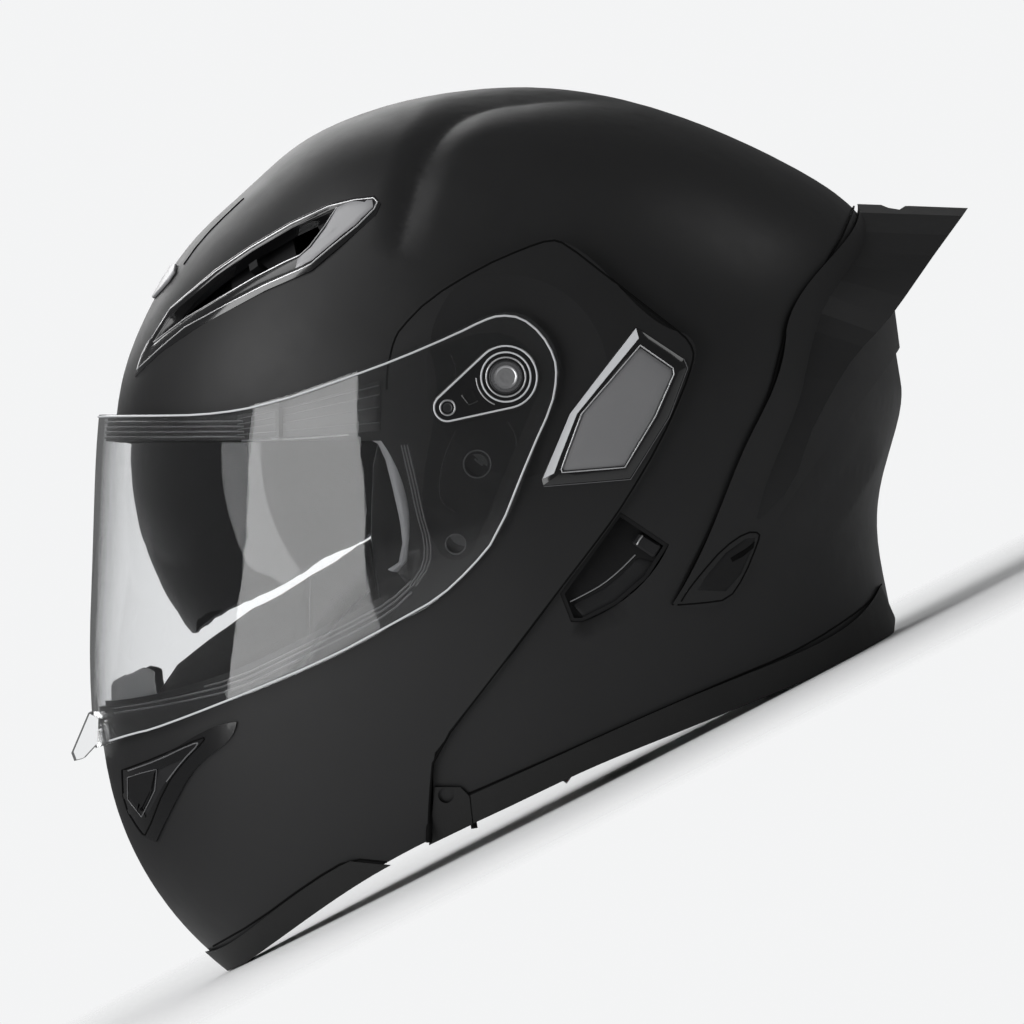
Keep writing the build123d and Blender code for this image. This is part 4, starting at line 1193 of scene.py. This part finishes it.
def make_forehead_plate():
    """A raised plate in the middle of the forehead, and two near-black lines of painted shade running up the
    crown from it.
    """
    shell = surface_of("outer_shell")
    steps = 12
    verts = []
    for y, half_width in ((299, 13.0), (292, 22.0), (283, 29.0), (274, 30.0), (266, 22.0)):
        verts += across_front(shell, px(0, y)[1], -half_width, half_width, 0.15, steps)
    mesh = new_mesh("forehead_plate", verts, grid_faces(5, steps + 1))
    piece = add_object("forehead_plate", mesh)
    mesh.update()
    if sum(face.normal.dot(TO_REAR) for face in mesh.polygons) > 0:
        mesh.flip_normals()
    give_wall(piece, 1.3, 1, 0.5)
    finish_piece(piece, "forehead_plate", "helmet", PALE_LIP, "satin_metal", 40)
    runs = []
    for sign in (-1, 1):
        spots = [(px(0, 266 - 66 * step / 24)[1], sign * (34 - 3 * step / 24)) for step in range(25)]
        runs.append([front_spot(shell, up, out) for up, out in spots])
    # Painted shade lines up the crown.
    bead("crown_lines", runs, 0.42, "helmet", PAINTED_GAP_SHADE, "black_plastic")


# Slider, rear panel and chin vents

def flat_surface(out):
    """A flat face square to X, at a distance from the middle plane."""
    corners = [place(across, up, out) for across, up in ((-200, -200), (200, -200), (200, 200), (-200, 200))]
    return BVHTree.FromPolygons(corners, [(0, 1, 2, 3)])


TRAY_FACE = 109.6
TRACK_PX = [(569, 600), (585, 592), (601, 583), (617, 570), (633, 554)]
SHELF_UPPER_PX = [(571, 602), (586, 595), (603, 586), (619, 573), (635, 557)]
SHELF_LOWER_PX = [(584, 617), (598, 612), (615, 602), (634, 587), (653, 562)]
KNOB_EDGE_PX = [(634.5, 544), (637, 539), (640, 535)]


def make_slider_details():
    """The curved track of the sun visor's knob, its lower shelf and the knob's grip edge; the satin beads on
    the dark plastic edges are painted highlight.
    """
    tray = flat_surface(TRAY_FACE)
    line_on("slider_track_edge", tray, [TRACK_PX], 0.3, "helmet", SATIN, "dark_plastic", 0.1, 5, 1)
    ridge = between(SHELF_UPPER_PX, SHELF_LOWER_PX, 0.1)
    rows = [(SHELF_UPPER_PX, 0.05), (ridge, 0.4), (SHELF_LOWER_PX, 0.4)]
    shelf = plate("slider_shelf", tray, rows, "helmet", DARK, "dark_plastic", 0.6, 0.15, closed=False)
    pair(shelf, "slider_shelf", "helmet")
    knob = surface_of("sun_visor_knob")
    line_on("slider_knob_edge", knob, [KNOB_EDGE_PX], 0.42, "inner_visor_slider", SATIN, "dark_plastic",
            0.0, 3, 0)


PANEL_EDGE_PX = [
    (670, 603.5), (700, 601.5), (725, 598), (740, 576), (754, 542), (756, 532), (742, 532), (720, 547),
    (698, 572), (684, 590), (678, 600),
]
PANEL_PX = [(694, 589), (722, 590), (737, 573), (750, 544), (751, 537), (742, 538), (722, 552), (702, 576)]
PANEL_EXIT_PX = [(726, 557), (741, 548), (750, 541), (749, 547), (738, 556), (728, 561)]


def make_rear_panels():
    """Inset panels at the lower ends of the spoiler's arms, with their exits; the near-black line round them
    and the plates in the exits are painted shade.
    """
    surface = surface_of("rear_spoiler")
    line_on("rear_panel_gap", surface, [PANEL_EDGE_PX], 0.34, "helmet", PAINTED_GAP_SHADE, "black_plastic", 0.0, 5, 1)
    rows = [(PANEL_PX, 0.1), (towards(PANEL_PX, middle_of(PANEL_PX), 0.16), 0.45)]
    panel = plate("rear_panel", surface, rows, "helmet", BLACK, "black_plastic", 0.5, 0.12, True)
    pair(panel, "rear_panel", "helmet")
    rows = [(PANEL_EXIT_PX, 0.5), (towards(PANEL_EXIT_PX, middle_of(PANEL_EXIT_PX), 0.3), 0.7)]
    slot = plate("rear_panel_exit", surface, rows, "helmet", PAINTED_GAP_SHADE, "black_plastic", 0.3, 0.05, True)
    pair(slot, "rear_panel_exit", "helmet")


CHIN_VENT_PX = [(124, 769), (160, 755), (207, 734), (208, 738), (188, 758), (168, 784), (148, 834),
                (143, 832), (125, 804)]
CHIN_VENT_LIP_PX = [(131, 769), (161, 758), (196, 741), (204, 740), (186, 758), (170, 779)]
CHIN_GRILLE_PX = [(130, 776), (145, 771), (160, 767), (158, 788), (144, 815), (130, 798)]


def make_chin_vents():
    """Edges of the chin vents as a near-black line of painted shade, their upper lip and the grille's edge as
    grey lines of painted highlight, and the panel over the grille.
    """
    surface = surface_of("chin_bar", "chin_vent_frame_left", "chin_vent_grille_left")
    for name, line, radius, material, slot, lift, steps, soft in (
            ("chin_vent_gap", CHIN_VENT_PX + CHIN_VENT_PX[:1], 0.32, PAINTED_GAP_SHADE, "black_plastic", 0.1, 5, 1),
            ("chin_vent_lip", CHIN_VENT_LIP_PX, 0.3, LIP_HIGHLIGHT, "dark_plastic", 0.25, 5, 1),
            ("chin_grille_edge", CHIN_GRILLE_PX + CHIN_GRILLE_PX[:1], 0.26, LIP_HIGHLIGHT, "dark_plastic", 0.2, 4, 0)):
        line_on(name, surface, [line], radius, "chin_section", material, slot, lift, steps, soft)
    corners = [on_surface(surface, spot, 1.0) for spot in CHIN_GRILLE_PX]
    flat = BVHTree.FromPolygons(corners, [list(range(len(corners)))])
    rows = [(towards(CHIN_GRILLE_PX, middle_of(CHIN_GRILLE_PX), 0.08), 0)]
    panel = plate("chin_grille_panel", flat, rows, "chin_section", BLACK, "dark_plastic", 1.2, 0.3, True, 3)
    pair(panel, "chin_grille_panel", "chin_section")


def make_nose_guard():
    """The nose guard with its edges rounded over, as the moulded one has."""
    guard = copy_of("nose_guard", -0.1)
    remeshed(guard, 1.0, 8)
    body = body_of(nodes["nose_guard"])[0]
    finish_piece(guard, "rounded_nose_guard", body, GREY, "dark_plastic", 60)
    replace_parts(guard, "nose_guard")


TAIL_JOINT_PX = [(431, 752), (432, 775), (431, 800), (430, 838)]
RIM_END_JOINT_PX = [(462, 786), (471, 800), (475, 824)]


def make_chin_tail_shade():
    """Near-black beads in the joint between the chin bar's tail and the helmet's rim: painted shade where the
    joint opens.
    """
    for label, line, out in (("tail_joint_shade", TAIL_JOINT_PX, 84.0), ("rim_end_joint_shade", RIM_END_JOINT_PX, 83.0)):
        run = [place(*px(*spot), out) for spot in rounded(line, 1)]
        # The beads are painted shade in the joint.
        bead(label, both_sides([run]), 1.3, "helmet", PAINTED_GAP_SHADE, "seal_rubber")


# Soft lining

PRESSURE = 4.0
CLOTH_FRAMES = 20
SEAM_LIFT = 0.1


def puffed(node_name, name, body, material, voxel, shrink, cap):
    """A padded piece in the place of a soft node: remeshed, blown up a little and smoothed."""
    piece = copy_of(node_name, -shrink)
    remeshed(piece, voxel, 3)
    before = [vert.co.copy() for vert in piece.data.vertices]
    puff = piece.modifiers.new("puff", "CLOTH")
    puff.settings.use_pressure = True
    puff.settings.uniform_pressure_force = PRESSURE
    puff.settings.effector_weights.gravity = 0.0
    for number in range(1, CLOTH_FRAMES + 1):
        bpy.context.scene.frame_set(number)
    apply_modifiers(piece)
    bpy.context.scene.frame_set(1)
    for vert, start in zip(piece.data.vertices, before):
        move = vert.co - start
        if move.length > cap * MM:
            vert.co = start + move.normalized() * (cap * MM)
    finer = piece.modifiers.new("finer", "SUBSURF")
    finer.levels = finer.render_levels = 1
    apply_modifiers(piece)
    finish_piece(piece, name, body, material, "lining_cloth", 80)
    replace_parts(piece, node_name)
    return piece


def tree_of(piece):
    mesh = piece.data
    faces = [list(face.vertices) for face in mesh.polygons]
    return BVHTree.FromPolygons([vert.co for vert in mesh.vertices], faces)


def fan(first_deg, last_deg, steps, direction):
    """Directions that a turning angle gives, from the first to the last."""
    turns = [math.radians(first_deg + (last_deg - first_deg) * step / steps) for step in range(steps + 1)]
    return [direction(turn) for turn in turns]


def cast_line(surface, rays):
    """Points where rays meet a surface, a little back towards where each ray starts."""
    points = []
    for start, direction in rays:
        hit, _, _, _ = surface.ray_cast(start, direction)
        if hit is not None:
            points.append(hit - direction.normalized() * (SEAM_LIFT * MM))
    return points


def level_seams(pad, centre, directions, rises):
    """Seam lines on a pad, seen from points at some heights over a centre."""
    surface = tree_of(pad)
    lines = []
    for rise in rises:
        start = centre + Vector((0, 0, rise * MM))
        lines.append(cast_line(surface, [(start, direction) for direction in directions]))
    return [line for line in lines if len(line) > 3]


def stitches(points, pitch=3.4, length=2.1):
    """Short runs along a line, one for each stitch."""
    runs, left = [], 0.0
    for first, second in zip(points, points[1:]):
        span = (second - first).length / MM
        if span < 0.01 or span > 12:
            continue
        heading = (second - first).normalized()
        at = -left
        while at < span:
            if at >= 0 and at + length <= span + pitch:
                runs.append([first + heading * (at * MM), first + heading * (min(at + length, span) * MM)])
            at += pitch
        left = (left + span) % pitch
    return [run for run in runs if (run[1] - run[0]).length > 0.8 * MM]


def sewn(label, seams, body, stitched=None, seam=0.55, thread=0.3):
    """Near-black beads along the seam lines, painted shade of sunk seams, with rows of stitches along them,
    or along lines of their own.
    """
    bead(label + "_seams", seams, seam, body, PAINTED_GAP_SHADE, "lining_cloth")
    runs = []
    for line in stitched or seams:
        runs += stitches(line)
    bead(label + "_stitches", runs, thread, body, STITCH, "lining_cloth")


def make_head_lining():
    pad = puffed("crown_pad", "crown_lining", "helmet", MESH, 3.6, 0.5, 1.6)
    surface = tree_of(pad)
    low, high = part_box("crown_pad")
    centre = Vector((0, (low[1] + high[1]) / 2, low[2] + 0.3 * (high[2] - low[2])))

    def arch(tilt):
        """A line over the head from front to rear, tilted to one side."""
        spread, upright = math.sin(tilt), math.cos(tilt)
        headings = fan(12, 168, 60, lambda turn: Vector(
            (spread, -math.cos(turn) * upright, math.sin(turn) * upright)))
        return cast_line(surface, [(centre, heading) for heading in headings])

    def hoop(lean):
        """A line over the head from side to side, leaning to the front or the rear."""
        headings = fan(12, 168, 48, lambda turn: Vector((math.cos(turn), math.sin(lean), math.sin(turn))))
        return cast_line(surface, [(centre, heading) for heading in headings])

    seams = [arch(math.radians(side * 22)) for side in (-1, 1)]
    seams += [hoop(math.radians(lean)) for lean in (-28, 24)]
    rows = [arch(math.radians(side * 24.5)) for side in (-1, 1)]
    sewn("crown_lining", seams, "helmet", rows, 0.6, 0.32)


def seam_on_side(pad, share):
    """A closed seam line on a pad's inner face, a share of its outline in the side view."""
    spokes = 48
    spots = [side_spot(vert.co) for vert in pad.data.vertices]
    middle = Vector((sum(s.x for s in spots) / len(spots), sum(s.y for s in spots) / len(spots)))
    headings, radii = [], []
    for step in range(spokes):
        turn = math.radians(step * 360 / spokes)
        heading = Vector((math.cos(turn), math.sin(turn)))
        headings.append(heading)
        radii.append(max((s - middle).dot(heading) for s in spots) * share)
    for _ in range(4):
        radii = [(radii[index - 1] + 2 * radii[index] + radii[(index + 1) % spokes]) / 4
                 for index in range(spokes)]
    reach = [middle + heading * radius for heading, radius in zip(headings, radii)]
    reach.append(reach[0])
    return cast_line(tree_of(pad), [(place(spot.x, spot.y), TO_LEFT) for spot in reach])


def make_cheek_linings():
    pad = puffed("cheek_pad_left", "cheek_lining_left", "helmet", LINING, 4.0, 1.5, 4.0)
    loops = [seam_on_side(pad, share) for share in (0.72, 0.42)]
    twin = mirrored(pad, "cheek_lining_right", "helmet")
    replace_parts(twin, "cheek_pad_right")
    sewn("cheek_lining", both_sides([loop for loop in loops if len(loop) > 3]), "helmet")


def make_neck_lining():
    roll = puffed("neck_roll", "neck_lining", "helmet", LINING, 4.0, 1.2, 3.0)
    low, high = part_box("neck_roll")
    centre = Vector((0, low[1] + 4 * MM, (low[2] + high[2]) / 2))
    rearward = fan(-100, 100, 80, lambda turn: Vector((math.sin(turn), math.cos(turn), 0)))
    sewn("neck_lining", level_seams(roll, centre, rearward, (-3, 5)), "helmet")


def make_chin_lining():
    pad = puffed("chin_pad", "chin_lining", "chin_section", LINING, 4.0, 1.2, 3.0)
    low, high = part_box("chin_pad")
    centre = Vector((0, high[1] + 8 * MM, (low[2] + high[2]) / 2))
    forward = fan(-80, 80, 80, lambda turn: Vector((math.sin(turn), -math.cos(turn), 0.0)))
    sewn("chin_lining", level_seams(pad, centre, forward, (-20, 14)), "chin_section")


CHIN_LINING_PX = [(155, 668), (196, 640), (240, 613), (270, 600), (301, 582), (301, 652), (270, 664),
                  (240, 676), (190, 698), (140, 712), (130, 700)]
ARM_LINING_PX = [(301, 582), (330, 567), (352, 552), (366, 545), (372, 585), (376, 616), (365, 626),
                 (330, 642), (301, 654)]
TEMPLE_LINING_PX = [(366, 545), (366, 520), (368, 470), (374, 444), (392, 444), (404, 474), (416, 508),
                    (430, 530), (432, 560), (424, 585), (400, 606), (376, 618)]


def make_port_linings():
    """Padded side linings that show inside the eye port, near-black with painted shade."""
    sheet = surface_of("visor")
    for label, loop, body, lift in (("chin_side_lining", CHIN_LINING_PX, "chin_section", -12.6),
                                    ("arm_side_lining", ARM_LINING_PX, "chin_section", -12.7),
                                    ("temple_side_lining", TEMPLE_LINING_PX, "helmet", -12.8)):
        middle = middle_of(loop)
        rows = [(loop, lift - 2.2)]
        for share, rise in ((0.05, -0.5), (0.16, 0), (0.6, 0.2)):
            rows.append((towards(loop, middle, share), lift + rise))
        piece = plate(label, sheet, rows, body, SHADED_SIDE_LINING, "lining_cloth", 3.0, 0.6, True, 3)
        for lining in pair(piece, label, body):
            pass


STRAP_ANCHOR_PX = (622, 655)
STRAP_LOW_PX = (558, 745)


def make_straps():
    """Webbing straps from under the ears to the buckle."""
    anchor, low = place(*px(*STRAP_ANCHOR_PX)), place(*px(*STRAP_LOW_PX))
    down = (low - anchor).normalized()
    drop = (low - anchor).length / MM
    width = TO_LEFT.cross(down).normalized()
    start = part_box("chin_strap_left")[1][0] / MM - 0.9
    route = rounded([(start, -6.0), (start, 7.0), (0.90 * start, 0.55 * drop), (0.60 * start, 0.93 * drop),
                     (17.5, drop)], 3)
    line = [anchor + down * (along * MM) + Vector((out * MM, 0, 0)) for out, along in route]
    half = 9.6
    across = (-half, -half * 0.9, -half * 0.3, half * 0.3, half * 0.9, half)
    verts = [point + width * (offset * MM) for point in line for offset in across]
    piece = add_object("webbing_strap", new_mesh("webbing_strap", verts, grid_faces(len(line), len(across))))
    give_wall(piece, 1.7, 0, 0.5, 3)
    work = bmesh.new()
    work.from_mesh(piece.data)
    bmesh.ops.recalc_face_normals(work, faces=work.faces)
    work.to_mesh(piece.data)
    work.free()
    finish_piece(piece, "webbing_strap", "helmet", WEBBING, "webbing", 50)
    pair(piece, "webbing_strap", "helmet", "chin_strap")
    runs = []
    for offset in (-half * 0.72, half * 0.72):
        for face in (-0.95, 0.95):
            row = []
            for index, point in enumerate(line):
                ahead = line[min(index + 1, len(line) - 1)] - line[max(index - 1, 0)]
                normal = width.cross(ahead).normalized()
                row.append(point + width * (offset * MM) + normal * (face * MM))
            runs += stitches(row, 3.0, 1.9)
    bead("webbing_stitches", both_sides(runs), 0.28, "helmet", STITCH, "webbing")


make_visor_edge()
make_brow_lips()
make_gap_shade_lines()
make_port_seal()
make_brow_sides()
make_hub_trim()
make_base_details()
make_side_inserts()
make_vent_frames()
make_forehead_plate()
make_slider_details()
make_rear_panels()
make_chin_vents()
make_chin_tail_shade()
make_nose_guard()
make_head_lining()
make_cheek_linings()
make_neck_lining()
make_chin_lining()
make_port_linings()
make_straps()
